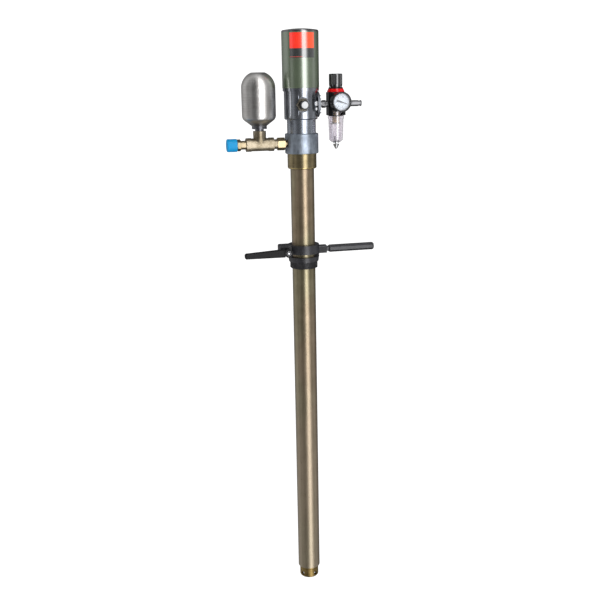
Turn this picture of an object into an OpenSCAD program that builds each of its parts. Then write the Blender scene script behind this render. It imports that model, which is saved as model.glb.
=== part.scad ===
// Air-operated oil pump for a drum.
// An air cylinder stands over its valve body, guide housing and outlet body, and a long
// suction tube hangs below with the pump piston and the foot valve in it. A bung adapter
// clamps round the tube. A surge bottle stands on the outlet branch at the left, and a
// filter-regulator with a pressure gauge hangs on the air inlet at the right.
// The origin is on the pump axis at the underside of the adapter's flange, on the drum.
// +Z is up, +X points to the filter-regulator and -Y to the front.

/* [Suction tube] */
// Outer diameter of the suction tube
tube_od = 50; // [46:1:54]
// Wall of the suction tube
tube_wall = 2.5; // [2:0.25:3.5]
// Whole length of the suction tube
tube_len = 980; // [700:10:1200]
// Depth that the tube enters the outlet body
tube_engage = 14; // [10:1:18]
// Height of the lock collar above the drum seat, as the adapter is clamped
head_stand = 198; // [130:2:300]

/* [Foot valve] */
// Outer diameter of the foot valve
foot_od = 43; // [40:0.5:45]
// Height of the foot valve below the tube
foot_h = 26.5; // [25:0.5:34]
// Wall of the strainer skirt
foot_wall = 3; // [2:0.25:4]
// Height of the spigot inside the tube
foot_spigot_h = 34; // [34:1:44]
// Diameter of the suction holes
foot_hole_d = 9.5; // [7:0.5:10]
// Number of suction holes
foot_hole_n = 4; // [3:1:6]
// Width of the open mouth in the bottom
foot_mouth_d = 28; // [20:1:30]
// Diameter of the foot valve ball
foot_ball_d = 22; // [20:0.5:22]

/* [Pump piston] */
// Diameter of the piston rod
rod_d = 14; // [12:0.5:15]
// Height of the pump piston with its cage
pump_piston_h = 44; // [42:1:56]
// Diameter of the pump piston's cage
cage_d = 30; // [28:0.5:34]
// Diameter of the pump piston ball
piston_ball_d = 17; // [14:0.5:18]

/* [Lock collar and outlet body] */
// Diameter of the lock collar
collar_od = 61; // [56:1:64]
// Height of the lock collar
collar_h = 31.5; // [22:0.5:40]
// Diameter of the outlet body
outlet_od = 70; // [66:1:76]
// Height of the outlet body
outlet_h = 41; // [38:0.5:50]
// Diameter of the oil chamber above the tube
chamber_d = 42; // [36:1:44]

/* [Guide housing and valve body] */
// Diameter of the guide housing
guide_od = 60; // [54:1:66]
// Height of the guide housing
guide_h = 28.5; // [24:0.5:40]
// Diameter of the valve body
valve_od = 70.5; // [68:0.5:74]
// Height of the valve body up to its flange
valve_h = 57; // [56:0.5:64]
// Diameter of the valve body's top flange
flange_od = 75; // [74:0.5:80]
// Thickness of the top flange
flange_h = 6; // [4:0.5:9]
// Height of the air ports above the valve body's base
port_rise = 30; // [29:0.5:31]
// Diameter of the inlet cover
cover_d = 53; // [50:0.5:54]
// Diameter of the pilot spool
spool_d = 16; // [14:0.5:17]

/* [Air cylinder] */
// Outer diameter of the air cylinder
cyl_od = 76; // [74:0.5:82]
// Wall of the air cylinder
cyl_wall = 3; // [2.5:0.25:5]
// Height of the air cylinder to the edge of its crown
cyl_h = 114; // [96:1:140]
// Rise of the domed crown
crown_h = 3; // [2:0.25:6]
// Thickness of the air piston
air_piston_h = 18; // [16:0.5:24]

/* [Silencer] */
// Width across flats of the silencer's hexagon
silencer_af = 24; // [20:0.5:26]
// Diameter of the silencer's barrel
silencer_d = 18; // [16:0.5:19]
// Length of the silencer's barrel
silencer_len = 16; // [5:0.5:18]

/* [Bung adapter] */
// Diameter of the 2 inch pipe thread that screws into the drum
bung_d = 59.6; // [59:0.1:61]
// Depth of the thread below the drum seat
bung_depth = 14.8; // [12:0.1:20]
// Diameter of the clamp ring
ring_od = 67; // [65:0.5:72]
// Height of the clamp ring
ring_h = 19; // [16:0.5:24]
// Height of the flange under the slot
seat_h = 10.4; // [10:0.1:14]
// Height of the slot between flange and clamp ring
slot_h = 7.1; // [4:0.1:9]
// Width of the split between the ears
split_w = 3; // [2:0.25:5]
// Thickness of one ear
ear_t = 13.5; // [11:0.5:16]
// Diameter of the clamp bolt
bolt_d = 10; // [8:0.5:11]

/* [Handles] */
// Reach of the clamp lever from the bolt to its end
lever_len = 93; // [70:0.5:130]
// Diameter of the lever's hub
hub_d = 17.8; // [16:0.1:20]
// Height of the lever at its end
lever_tip = 11.5; // [9:0.5:15]
// Width across flats of the turning bar
bar_af = 15.6; // [12:0.1:17]
// Distance of the turning bar's end from the pump axis
bar_reach = 157; // [110:1:190]

/* [Outlet branch] */
// Width across flats of the union nut
union_af = 23; // [21:0.5:25]
// Distance of the surge bottle's axis from the pump axis
tee_x = 89; // [82:0.5:100]
// Length of the tee's run
tee_run = 58; // [52:1:66]
// Diameter of the tee's collars
tee_collar_d = 28; // [25:0.1:29]
// Height of the tee's top above its run's axis
tee_rise = 27.7; // [24:0.1:34]
// Diameter of the half inch pipe thread at the outlet
hose_thread_d = 20.9; // [19:0.1:21.5]
// Width across flats of the hose nipple's hexagon
hose_af = 21; // [19.5:0.5:24]
// Diameter of the thread cap
cap_d = 26.5; // [25.5:0.1:30]
// Length of the thread cap
cap_len = 21; // [20:0.5:30]

/* [Surge bottle] */
// Diameter of the surge bottle
bottle_d = 70; // [60:1:80]
// Height of the bottle from its neck ring to its flat top
bottle_h = 106.8; // [95:0.2:140]
// Wall of the surge bottle
bottle_wall = 2; // [1.5:0.25:3]
// Diameter of the bottle's neck ring
neck_ring_d = 31; // [28:0.5:36]

/* [Filter regulator] */
// Distance of the filter-regulator's axis from the pump axis
fr_x = 74.5; // [72:0.5:90]
// Width of the regulator body
fr_w = 36; // [34:0.5:37]
// Height of the regulator body
fr_h = 47; // [44:0.5:52]
// Diameter of the knob
knob_d = 28; // [27:0.5:31]
// Height of the knob
knob_h = 26.5; // [24:0.5:32]
// Height of the red lock ring
lock_ring_h = 10.3; // [8:0.1:14]
// Diameter of the bowl
bowl_d = 31.5; // [31:0.5:33]
// Length of the bowl below the body
bowl_h = 55; // [48:1:70]
// Diameter of the filter element
element_d = 15; // [12:0.5:16]
// Distance of the air plug's end from the pump axis
plug_reach = 130; // [112:1:150]
// Diameter of the air plug
plug_d = 12.5; // [11:0.1:14]

/* [Pressure gauge] */
// Diameter of the gauge case
gauge_d = 40.7; // [38:0.1:44]
// Depth of the gauge case
gauge_depth = 24; // [20:0.5:30]
// Height of the gauge above the ports
gauge_rise = 4; // [0:0.5:5]

/* [Fits] */
// Radial clearance of running fits
running_gap = 0.05; // [0.02:0.01:0.08]
// Radial clearance of screwed and pressed fits
seat_gap = 0.05; // [0.02:0.01:0.08]
// Clearance between pieces that move past each other
free_gap = 0.3; // [0.3:0.05:0.5]

/* [Hidden] */

$fn = 64;

// Overrun of every cut past the face that it opens
over = 1;

// Radii of the driving pieces
tube_r = tube_od / 2;
tube_ri = tube_r - tube_wall;
rod_r = rod_d / 2;
cyl_ri = cyl_od / 2 - cyl_wall;
bolt_r = bolt_d / 2;

// Levels of the stacked bodies, from the lock collar up
collar_z = head_stand;
outlet_z = collar_z + collar_h;
guide_z = outlet_z + outlet_h;
valve_z = guide_z + guide_h;
flange_z = valve_z + valve_h;
cyl_z = flange_z + flange_h;
crown_z = cyl_z + cyl_h;
tube_top = outlet_z + tube_engage;
tube_z = tube_top - tube_len;
foot_z = tube_z - foot_h;

// Axes of the air ports and of the oil outlet
port_z = valve_z + port_rise;
oil_z = outlet_z + outlet_h / 2;

// A sleeve or a solid round bar along Z, X or Y, between two places
module bar_z(z0, z1, r) {
    translate([0, 0, z0])
        cylinder(h = z1 - z0, r = r);
}

module bar_x(x0, x1, r) {
    translate([x0, 0, 0])
        rotate([0, 90, 0])
            cylinder(h = x1 - x0, r = r);
}

module bar_y(y0, y1, r) {
    translate([0, y0, 0])
        rotate([-90, 0, 0])
            cylinder(h = y1 - y0, r = r);
}

// A cone frustum along Z between two levels
module cone_z(z0, z1, r0, r1) {
    translate([0, 0, z0])
        cylinder(h = z1 - z0, r1 = r0, r2 = r1);
}

// Hexagons with a flat face to the front, by their width across flats
module hex_x(x0, x1, af) {
    translate([x0, 0, 0])
        rotate([0, 90, 0])
            cylinder(h = x1 - x0, r = af / 2 / cos(30), $fn = 6);
}

module hex_y(y0, y1, af) {
    translate([0, y0, 0])
        rotate([-90, 0, 0])
            cylinder(h = y1 - y0, r = af / 2 / cos(30), $fn = 6);
}

module hex_z(z0, z1, af) {
    translate([0, 0, z0])
        cylinder(h = z1 - z0, r = af / 2 / cos(30), $fn = 6);
}

// The chamfered ends of a nut's hexagon, as the turned blank that the hexagon is cut from
module hex_blank(len, af, cut) {
    corner_r = af / 2 / cos(30);
    cylinder(h = cut, r1 = corner_r - 2 * cut, r2 = corner_r);
    translate([0, 0, cut])
        cylinder(h = len - 2 * cut, r = corner_r);
    translate([0, 0, len - cut])
        cylinder(h = cut, r1 = corner_r, r2 = corner_r - 2 * cut);
}

// A nut or hexagon collar along X with both ends chamfered
module chamfered_hex_x(x0, x1, af, cut) {
    intersection() {
        hex_x(x0, x1, af);
        translate([x0, 0, 0])
            rotate([0, 90, 0])
                hex_blank(x1 - x0, af, cut);
    }
}

// A square with rounded corners, centred
module rounded_square(w, r) {
    square([w, w - 2 * r], center = true);
    square([w - 2 * r, w], center = true);
    for (sx = [-1, 1], sy = [-1, 1])
        translate([sx * (w / 2 - r), sy * (w / 2 - r)])
            circle(r);
}

// Bung adapter: one casting with a thread nose, a flange and a split clamp ring
ring_z = seat_h + slot_h;
ring_top = ring_z + ring_h;
ring_r = ring_od / 2;
bung_r = bung_d / 2;
clamp_bore_r = tube_r + free_gap;
seat_lip = 2.2;
seat_foot_r = bung_r + seat_lip;
bung_chamfer = 2;
bolt_rise_share = 0.3;
bolt_z = ring_z + ring_h * bolt_rise_share;
ear_corner = 3;
ear_y = split_w / 2 + ear_t;
hub_stand = 0.65;
bolt_x = sqrt(ring_r * ring_r - ear_y * ear_y) + hub_d / 2 + hub_stand;
ear_wall = 9.5;
ear_end_x = bolt_x + bolt_r + ear_wall;
boss_x = 50;
boss_w = 17;
boss_corner_share = 0.2;
bar_neck_r = 5.5;
bar_socket = 13;
web_from = -30;
web_to = 100;
seal_z = 3;
seal_h = 5;
seal_t = 3;
seal_r = tube_r + seal_t;

module adapter_turned() {
    cone_z(-bung_depth, -bung_depth + bung_chamfer, bung_r - bung_chamfer, bung_r);
    bar_z(-bung_depth + bung_chamfer, over, bung_r);
    cone_z(0, seat_h, seat_foot_r, ring_r);
    bar_z(seat_h - over, ring_z + over, ring_r);
    bar_z(ring_z, ring_top, ring_r);
}

module adapter_ears() {
    ear_len = ear_end_x - tube_r - over;
    translate([-ear_end_x, ear_y, ring_z])
        rotate([90, 0, 0])
            linear_extrude(height = 2 * ear_y) {
                translate([ear_corner, 0])
                    square([ear_len - ear_corner, ring_h]);
                translate([0, ear_corner])
                    square([ear_len, ring_h - 2 * ear_corner]);
                for (v = [ear_corner, ring_h - ear_corner])
                    translate([ear_corner, v])
                        circle(ear_corner);
            }
}

module adapter_boss() {
    translate([0, 0, bolt_z])
        rotate([0, 90, 0])
            linear_extrude(height = boss_x)
                rounded_square(boss_w, boss_w * boss_corner_share);
}

// The slot runs round the front and the left; the web at the back right stays as the hinge
module adapter_slot() {
    slot_r = ring_r + over;
    difference() {
        bar_z(seat_h, ring_z, slot_r);
        for (turn = [web_from, web_to - 90])
            rotate([0, 0, turn])
                translate([0, 0, seat_h - over])
                    cube([slot_r, slot_r, slot_h + 2 * over]);
    }
}

module bung_adapter() {
    color("#2b2b2d")
        difference() {
            union() {
                adapter_turned();
                adapter_ears();
                adapter_boss();
            }
            bar_z(-bung_depth - over, ring_top + over, clamp_bore_r);
            bar_z(seal_z - free_gap, seal_z + seal_h + free_gap, seal_r + running_gap);
            adapter_slot();
            translate([-ear_end_x - over, -split_w / 2, ring_z])
                cube([ear_end_x, split_w, ring_h + over]);
            translate([-bolt_x, 0, bolt_z])
                bar_y(-ear_y - over, ear_y + over, bolt_r + seat_gap);
            translate([0, 0, bolt_z])
                bar_x(boss_x - bar_socket, boss_x + over, bar_neck_r + seat_gap);
        }
}

// Turning bar: an octagonal bar on a round neck that screws into the boss
bar_neck_len = 5;
bar_chamfer = 1.5;
bar_end_len = 3;

// One length of the octagon along X, with its corner radius at each end
module octagon_x(x0, x1, r0, r1) {
    translate([x0, 0, 0])
        rotate([0, 90, 0])
            rotate([0, 0, 22.5])
                cylinder(h = x1 - x0, r1 = r0, r2 = r1, $fn = 8);
}

module turning_bar() {
    bar_r = bar_af / 2 / cos(22.5);
    bar_x0 = boss_x + bar_neck_len;
    color("#303032")
        translate([0, 0, bolt_z]) {
            bar_x(boss_x - bar_socket, bar_x0 + over, bar_neck_r);
            octagon_x(bar_x0, bar_x0 + bar_end_len, bar_r - bar_chamfer, bar_r);
            octagon_x(bar_x0 + bar_end_len, bar_reach - bar_end_len, bar_r, bar_r);
            octagon_x(bar_reach - bar_end_len, bar_reach, bar_r, bar_r - bar_chamfer);
        }
}

// Clamp bolt: hexagon head behind the ears, threaded end through the lever's hub
bolt_head_af = 17;
bolt_head_h = 6.5;
hub_len = 18;
bolt_proud = 1.2;

module clamp_bolt() {
    color("#c9c9c6")
        translate([-bolt_x, 0, bolt_z]) {
            bar_y(-ear_y - free_gap - hub_len - bolt_proud, ear_y + over, bolt_r);
            rotate([0, 30, 0])
                hex_y(ear_y, ear_y + bolt_head_h, bolt_head_af);
        }
}

// Clamp lever: a threaded hub and a bar that tapers towards its end
lever_root = 17.4;
lever_t = 11;
lever_plane_share = 0.55;
lever_plane = -ear_y - free_gap - hub_len * lever_plane_share;
lever_bevel = 2.2;
lever_slice_t = 0.5;
lever_drop = 2;

// One slice of the lever's bar at a distance from the hub, lower by its drop
module lever_slice(x, drop, h, t) {
    cut = lever_bevel * h / lever_root;
    translate([x, 0, -drop])
        rotate([90, 0, 90])
            linear_extrude(height = lever_slice_t)
                polygon([
                    [-t / 2, -h / 2 + cut], [-t / 2 + cut, -h / 2],
                    [t / 2 - cut, -h / 2], [t / 2, -h / 2 + cut],
                    [t / 2, h / 2 - cut], [t / 2 - cut, h / 2],
                    [-t / 2 + cut, h / 2], [-t / 2, h / 2 - cut]
                ]);
}

module clamp_lever() {
    hub_y = -ear_y - free_gap;
    color("#232325")
        translate([-bolt_x, 0, bolt_z])
            difference() {
                union() {
                    bar_y(hub_y - hub_len, hub_y, hub_d / 2);
                    translate([0, lever_plane, 0])
                        hull() {
                            lever_slice(-lever_len, lever_drop, lever_tip - 2 * lever_bevel,
                                lever_t - lever_bevel);
                            lever_slice(-lever_len + lever_bevel, lever_drop, lever_tip, lever_t);
                            lever_slice(-bolt_r - lever_bevel, 0, lever_root, lever_t);
                        }
                }
                bar_y(hub_y - hub_len - over, hub_y + over, bolt_r + running_gap);
            }
}

// Tube seal: the lip ring in the flange that the tube turns and slides in
module tube_seal() {
    color("#1a1a1a")
        difference() {
            bar_z(seal_z, seal_z + seal_h, seal_r);
            bar_z(seal_z - over, seal_z + seal_h + over, tube_r + running_gap);
        }
}

// Suction tube: plain drawn tube, zinc plated and yellow passivated
module suction_tube() {
    color("#8d7a4f")
        difference() {
            bar_z(tube_z, tube_top, tube_r);
            bar_z(tube_z - over, tube_top + over, tube_ri);
        }
}

// Lock collar: the ring that locks the tube's thread against the outlet body
collar_chamfer = 2;

module lock_collar() {
    color("#a68a4d")
        difference() {
            union() {
                cone_z(collar_z, collar_z + collar_chamfer, collar_od / 2 - collar_chamfer, collar_od / 2);
                bar_z(collar_z + collar_chamfer, outlet_z, collar_od / 2);
            }
            bar_z(collar_z - over, outlet_z + over, tube_r + seat_gap);
        }
}

// Outlet body: bored for the tube, with the oil chamber and the port at the left
outlet_chamfer = 1.2;
port_face_x = 31;
port_face_r = 16;
port_thread_r = 8.5;
port_bore_r = 6;
port_shelf = 1;
port_shelf_x = tube_r + port_shelf;
chamber_roof = 9;

module outlet_body() {
    color("#8f9296")
        difference() {
            union() {
                cone_z(outlet_z, outlet_z + outlet_chamfer, outlet_od / 2 - outlet_chamfer, outlet_od / 2);
                bar_z(outlet_z + outlet_chamfer, guide_z - outlet_chamfer, outlet_od / 2);
                cone_z(guide_z - outlet_chamfer, guide_z, outlet_od / 2, outlet_od / 2 - outlet_chamfer);
            }
            bar_z(outlet_z - over, tube_top, tube_r + seat_gap);
            bar_z(tube_top - over, guide_z - chamber_roof, chamber_d / 2);
            bar_z(outlet_z, guide_z + over, rod_r + free_gap);
            translate([0, 0, oil_z]) {
                bar_x(-outlet_od, -port_face_x, port_face_r);
                bar_x(-port_face_x - over, -port_shelf_x, port_thread_r + seat_gap);
                bar_x(-port_shelf_x - over, 0, port_bore_r);
            }
        }
}

// Guide housing: carries the bush that guides the piston rod
bush_t = 4;
bush_r = rod_r + bush_t;
bush_h = 20;

module guide_housing() {
    color("#7f8286")
        difference() {
            bar_z(guide_z, valve_z, guide_od / 2);
            bar_z(guide_z - over, valve_z + over, rod_r + free_gap);
            bar_z(valve_z - bush_h, valve_z + over, bush_r + seat_gap);
        }
}

module rod_bush() {
    color("#b08d57")
        difference() {
            bar_z(valve_z - bush_h, valve_z, bush_r);
            bar_z(valve_z - bush_h - over, valve_z + over, rod_r + running_gap);
        }
}

// Valve body: air distribution, with the spool's bore, the cover's flat and the exhaust
valve_chamfer = 2;
cover_flat_x = 31;
spool_x = 19;
spool_r = spool_d / 2;
spool_bore_h = 48;
air_port_r = 4;
exhaust_port_r = 3.5;
pilot_port_r = 2.5;
rod_seal_h = 6;
rod_seal_t = 4.5;
rod_seal_r = rod_r + rod_seal_t;
silencer_x = -5;
silencer_face_y = -33;
silencer_face_gap = 1.5;
silencer_face_r = silencer_af / 2 / cos(30) + silencer_face_gap;
silencer_thread_r = 8;
silencer_thread_len = 11;
silencer_thread_end = silencer_face_y + silencer_thread_len;
exhaust_run = spool_x - silencer_x;
cover_r = cover_d / 2;
screw_pcd_r = 19.5;
screw_r = 2.5;
screw_depth = 9;

// Repeats a cover screw's place, the screw running inwards from the cover's rim
module at_cover_screws() {
    for (turn = [45, 135, 225, 315])
        translate([0, 0, port_z])
            rotate([turn, 0, 0])
                translate([0, 0, screw_pcd_r])
                    children();
}

// The turned blank below the flange, with the flat that the inlet cover seats on
module valve_blank() {
    difference() {
        union() {
            cone_z(valve_z, valve_z + valve_chamfer, valve_od / 2 - valve_chamfer, valve_od / 2);
            bar_z(valve_z + valve_chamfer, flange_z, valve_od / 2);
        }
        translate([cover_flat_x, -valve_od, valve_z - over])
            cube([valve_od, 2 * valve_od, valve_h + 2 * over]);
    }
}

module valve_body() {
    color("#868a8f")
        difference() {
            union() {
                valve_blank();
                bar_z(flange_z, cyl_z, flange_od / 2);
            }
            bar_z(valve_z - over, cyl_z + over, rod_r + free_gap);
            bar_z(cyl_z - rod_seal_h, cyl_z + over, rod_seal_r + seat_gap);
            translate([spool_x, 0, 0]) {
                bar_z(valve_z - over, valve_z + spool_bore_h, spool_r + running_gap);
                bar_z(valve_z, cyl_z + over, pilot_port_r);
            }
            translate([0, 0, port_z]) {
                bar_x(spool_x, cover_flat_x + over, air_port_r);
                translate([silencer_x, 0, 0]) {
                    bar_y(-valve_od, silencer_face_y, silencer_face_r);
                    bar_y(silencer_face_y - over, silencer_thread_end + over,
                        silencer_thread_r + seat_gap);
                    translate([0, silencer_thread_end, 0])
                        rotate([0, 0, atan2(-silencer_thread_end, exhaust_run)])
                            bar_x(0, norm([exhaust_run, silencer_thread_end]) - air_port_r,
                                exhaust_port_r);
                }
            }
            at_cover_screws()
                bar_x(cover_flat_x - screw_depth - over, cover_flat_x + over, screw_r + seat_gap);
        }
}

// Rod seal: the lip ring that closes the cylinder's floor round the rod
module rod_seal() {
    color("#202020")
        difference() {
            bar_z(cyl_z - rod_seal_h, cyl_z, rod_seal_r);
            bar_z(cyl_z - rod_seal_h - over, cyl_z + over, rod_r + running_gap);
        }
}

// Inlet cover: a turned cover with a bulging face, screwed on the valve body's flat
cover_rim_t = 5;
cover_bulge = 4;
cover_face_r = 12;
inlet_thread_r = 6;
screw_head_r = 4.4;
screw_head_h = 3.2;
screw_socket_share = 0.45;

module inlet_cover() {
    color("#7c8085")
        difference() {
            translate([0, 0, port_z]) {
                bar_x(cover_flat_x, cover_flat_x + cover_rim_t, cover_r);
                translate([cover_flat_x + cover_rim_t, 0, 0])
                    rotate([0, 90, 0])
                        cylinder(h = cover_bulge, r1 = cover_r, r2 = cover_face_r);
            }
            translate([0, 0, port_z])
                bar_x(cover_flat_x - over, cover_flat_x + cover_rim_t + cover_bulge + over,
                    inlet_thread_r + seat_gap);
            at_cover_screws() {
                bar_x(cover_flat_x - over, cover_flat_x + 2 * cover_rim_t, screw_r + seat_gap);
                bar_x(cover_flat_x + cover_rim_t, cover_flat_x + 3 * cover_rim_t,
                    screw_head_r + seat_gap);
            }
        }
}

module cover_screws() {
    head_x = cover_flat_x + cover_rim_t;
    socket_r = screw_head_r * screw_socket_share;
    color("#d4d4d0")
        at_cover_screws()
            difference() {
                union() {
                    bar_x(cover_flat_x - screw_depth, head_x + over, screw_r);
                    bar_x(head_x, head_x + screw_head_h, screw_head_r);
                }
                translate([head_x + screw_head_h / 2, 0, 0])
                    rotate([0, 90, 0])
                        cylinder(h = screw_head_h, r = socket_r, $fn = 6);
            }
}

// Silencer: a hexagon body with a round barrel, closed by a porous disc
core_ring = 2.1;
core_r = silencer_d / 2 - core_ring;
core_depth = 4;
core_proud = 0.5;
silencer_hex_h = 8;

module silencer_body() {
    hex_end = silencer_face_y - silencer_hex_h;
    barrel_end = hex_end - silencer_len;
    color("#5a5c58")
        translate([silencer_x, 0, port_z])
            difference() {
                union() {
                    bar_y(silencer_face_y - over, silencer_thread_end, silencer_thread_r);
                    hex_y(hex_end, silencer_face_y, silencer_af);
                    bar_y(barrel_end, hex_end + over, silencer_d / 2);
                }
                bar_y(barrel_end - over, silencer_thread_end + over, silencer_thread_r / 2);
                bar_y(barrel_end - over, barrel_end + core_depth, core_r + seat_gap);
            }
}

module silencer_core() {
    barrel_end = silencer_face_y - silencer_hex_h - silencer_len;
    color("#f2f2f0")
        translate([silencer_x, 0, port_z]) {
            bar_y(barrel_end, barrel_end + core_depth, core_r);
            translate([0, barrel_end - core_proud, 0])
                rotate([-90, 0, 0])
                    cylinder(h = core_proud, r1 = core_r - core_proud, r2 = core_r);
        }
}

// Air cylinder: a deep cup with a domed crown
crown_edge = 3;
crown_roof = 4;

module air_cylinder() {
    cap_r = cyl_od / 2 - crown_edge;
    dome_r = (cap_r * cap_r + crown_h * crown_h) / 2 / crown_h;
    color("#5f7f5c")
        difference() {
            rotate_extrude() {
                translate([0, cyl_z])
                    square([cyl_od / 2, cyl_h - crown_edge]);
                translate([0, cyl_z])
                    square([cap_r, cyl_h]);
                intersection() {
                    translate([cap_r, crown_z - crown_edge])
                        circle(crown_edge);
                    translate([cap_r - over, crown_z - 2 * crown_edge])
                        square([2 * crown_edge, 2 * crown_edge]);
                }
                intersection() {
                    translate([0, crown_z - over])
                        square([cap_r, crown_h + 2 * over]);
                    translate([0, crown_z + crown_h - dome_r])
                        circle(dome_r, $fn = 180);
                }
            }
            bar_z(cyl_z - over, crown_z - crown_roof, cyl_ri);
        }
}

// Piston rod with the air piston at its top and the pump piston at its foot
piston_rest = cyl_z + free_gap;
piston_foot_gap = 8;
cage_top = 14;
pump_piston_z = tube_z + foot_spigot_h + piston_foot_gap;
rod_foot_z = pump_piston_z + pump_piston_h - cage_top;
rod_nut_af = 22;
rod_nut_h = 9;
rod_proud = 2;
rod_top = piston_rest + air_piston_h + rod_nut_h + rod_proud;
rod_tip = 1;
ring_groove = 3.5;
air_ring_h = 5;
piston_slack = 0.6;

module piston_rod() {
    color("#c8cacc") {
        bar_z(rod_foot_z, rod_top - rod_tip, rod_r);
        cone_z(rod_top - rod_tip, rod_top, rod_r, rod_r - rod_tip);
    }
}

module rod_nut() {
    nut_z = piston_rest + air_piston_h;
    color("#b9bab8")
        difference() {
            hex_z(nut_z, nut_z + rod_nut_h, rod_nut_af);
            bar_z(nut_z - over, nut_z + rod_nut_h + over, rod_r + seat_gap);
        }
}

// Air piston: a disc with a groove for its seal
module air_piston() {
    r = cyl_ri - piston_slack;
    mid = piston_rest + air_piston_h / 2;
    color("#a9adb0")
        difference() {
            bar_z(piston_rest, piston_rest + air_piston_h, r);
            difference() {
                bar_z(mid - air_ring_h / 2, mid + air_ring_h / 2, r + over);
                bar_z(mid - air_ring_h, mid + air_ring_h, r - ring_groove);
            }
            bar_z(piston_rest - over, piston_rest + air_piston_h + over, rod_r + seat_gap);
        }
}

module air_piston_seal() {
    r = cyl_ri - piston_slack - ring_groove + seat_gap;
    mid = piston_rest + air_piston_h / 2;
    color("#1d1d1d")
        difference() {
            bar_z(mid - air_ring_h / 2, mid + air_ring_h / 2, cyl_ri - running_gap);
            bar_z(mid - air_ring_h, mid + air_ring_h, r);
        }
}

// Pump piston: a disc with its seal, and above it a cage with a ball and four windows
head_share = 0.42;
cage_floor = 8;
window_r = 4;
pump_ring_h = 6;
piston_seat_share = 0.35;
piston_seat_r = piston_ball_d * piston_seat_share;
ball_slack = 2;

module pump_piston() {
    r = tube_ri - piston_slack;
    head_top = pump_piston_z + pump_piston_h * head_share;
    groove_z = pump_piston_z + cage_floor / 2;
    chamber_r = piston_ball_d / 2 + ball_slack;
    color("#9a9c9e")
        difference() {
            union() {
                bar_z(pump_piston_z, head_top, r);
                bar_z(head_top - over, pump_piston_z + pump_piston_h, cage_d / 2);
            }
            difference() {
                bar_z(groove_z, groove_z + pump_ring_h, r + over);
                bar_z(groove_z - over, groove_z + pump_ring_h + over, r - ring_groove);
            }
            bar_z(pump_piston_z - over, pump_piston_z + cage_floor + over, piston_seat_r);
            bar_z(pump_piston_z + cage_floor, rod_foot_z, chamber_r);
            bar_z(rod_foot_z - over, pump_piston_z + pump_piston_h + over, rod_r + seat_gap);
            for (turn = [0, 90])
                translate([0, 0, head_top + window_r])
                    rotate([0, 0, turn])
                        bar_x(-cage_d, cage_d, window_r);
        }
}

module pump_piston_seal() {
    r = tube_ri - piston_slack - ring_groove + seat_gap;
    groove_z = pump_piston_z + cage_floor / 2;
    color("#e8e4d8")
        difference() {
            bar_z(groove_z, groove_z + pump_ring_h, tube_ri - running_gap);
            bar_z(groove_z - over, groove_z + pump_ring_h + over, r);
        }
}

// Height of a ball's centre over the edge of its seat, a free gap off the edge
function ball_rise(ball_r, seat_r) = sqrt(pow(ball_r + free_gap, 2) - seat_r * seat_r);

module piston_ball() {
    r = piston_ball_d / 2;
    color("#d0d2d4")
        translate([0, 0, pump_piston_z + cage_floor + ball_rise(r, piston_seat_r)])
            sphere(r);
}

// Foot valve: a strainer skirt below the tube, a spigot inside it, a seat and a ball
foot_floor = 3;
foot_edge = 3;
foot_band = 5;
foot_line = 0.8;
foot_shelf = 3;
foot_seat_h = 6;
foot_ball_slack = 3;
foot_seat_z = tube_z - foot_seat_h;
foot_throat_share = 0.36;
foot_seat_r = foot_ball_d / 2 + foot_ball_slack;
foot_throat_r = foot_ball_d * foot_throat_share;
foot_pin_r = 2;
foot_ball_lift = 5;
foot_ball_z = tube_z + ball_rise(foot_ball_d / 2, foot_throat_r);
foot_pin_z = foot_ball_z + foot_ball_d / 2 + foot_ball_lift + free_gap + foot_pin_r;
foot_cavity_top = foot_seat_z - foot_shelf;

module foot_outline() {
    r = foot_od / 2;
    translate([0, foot_z + foot_edge])
        square([r, foot_h - foot_edge]);
    translate([0, foot_z])
        square([r - foot_edge, foot_edge + over]);
    translate([r - foot_edge, foot_z + foot_edge])
        circle(foot_edge);
    translate([0, tube_z - over])
        square([tube_ri - seat_gap, foot_spigot_h + over]);
}

module foot_valve() {
    r = foot_od / 2;
    color("#b59a55")
        difference() {
            rotate_extrude()
                foot_outline();
            difference() {
                bar_z(tube_z - foot_band - foot_line, tube_z - foot_band, r + over);
                bar_z(foot_z, tube_z, r - foot_line);
            }
            bar_z(foot_z - over, foot_z + foot_floor + over, foot_mouth_d / 2);
            bar_z(foot_z + foot_floor, foot_cavity_top, r - foot_wall);
            bar_z(foot_cavity_top - over, foot_seat_z + over, foot_throat_r);
            bar_z(foot_seat_z, tube_z + foot_spigot_h + over, foot_seat_r + seat_gap);
            for (i = [0:foot_hole_n - 1])
                translate([0, 0, foot_z + foot_floor + foot_hole_d / 2 + foot_line])
                    rotate([0, 0, 45 + i * 360 / foot_hole_n])
                        bar_x(0, r + over, foot_hole_d / 2);
            translate([0, 0, foot_pin_z])
                bar_y(-tube_r, tube_r, foot_pin_r + seat_gap);
        }
}

module foot_seat() {
    color("#8b8d90")
        difference() {
            bar_z(foot_seat_z, tube_z, foot_seat_r);
            bar_z(foot_seat_z - over, tube_z + over, foot_throat_r);
        }
}

module foot_pin() {
    reach = tube_ri - foot_line;
    color("#aeb0b2")
        translate([0, 0, foot_pin_z])
            bar_y(-reach, reach, foot_pin_r);
}

module foot_ball() {
    color("#d0d2d4")
        translate([0, 0, foot_ball_z])
            sphere(foot_ball_d / 2);
}

// Pilot spool: three lands on a stem, resting at the foot of its bore
spool_len = 36;
spool_rest = 1.5;
land_h = 7;
spool_stem_share = 0.6;

module pilot_spool() {
    color("#b7b9bb")
        translate([spool_x, 0, valve_z + spool_rest]) {
            cylinder(h = spool_len, r = spool_r * spool_stem_share);
            for (z = [0, (spool_len - land_h) / 2, spool_len - land_h])
                translate([0, 0, z])
                    cylinder(h = land_h, r = spool_r);
        }
}

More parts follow.
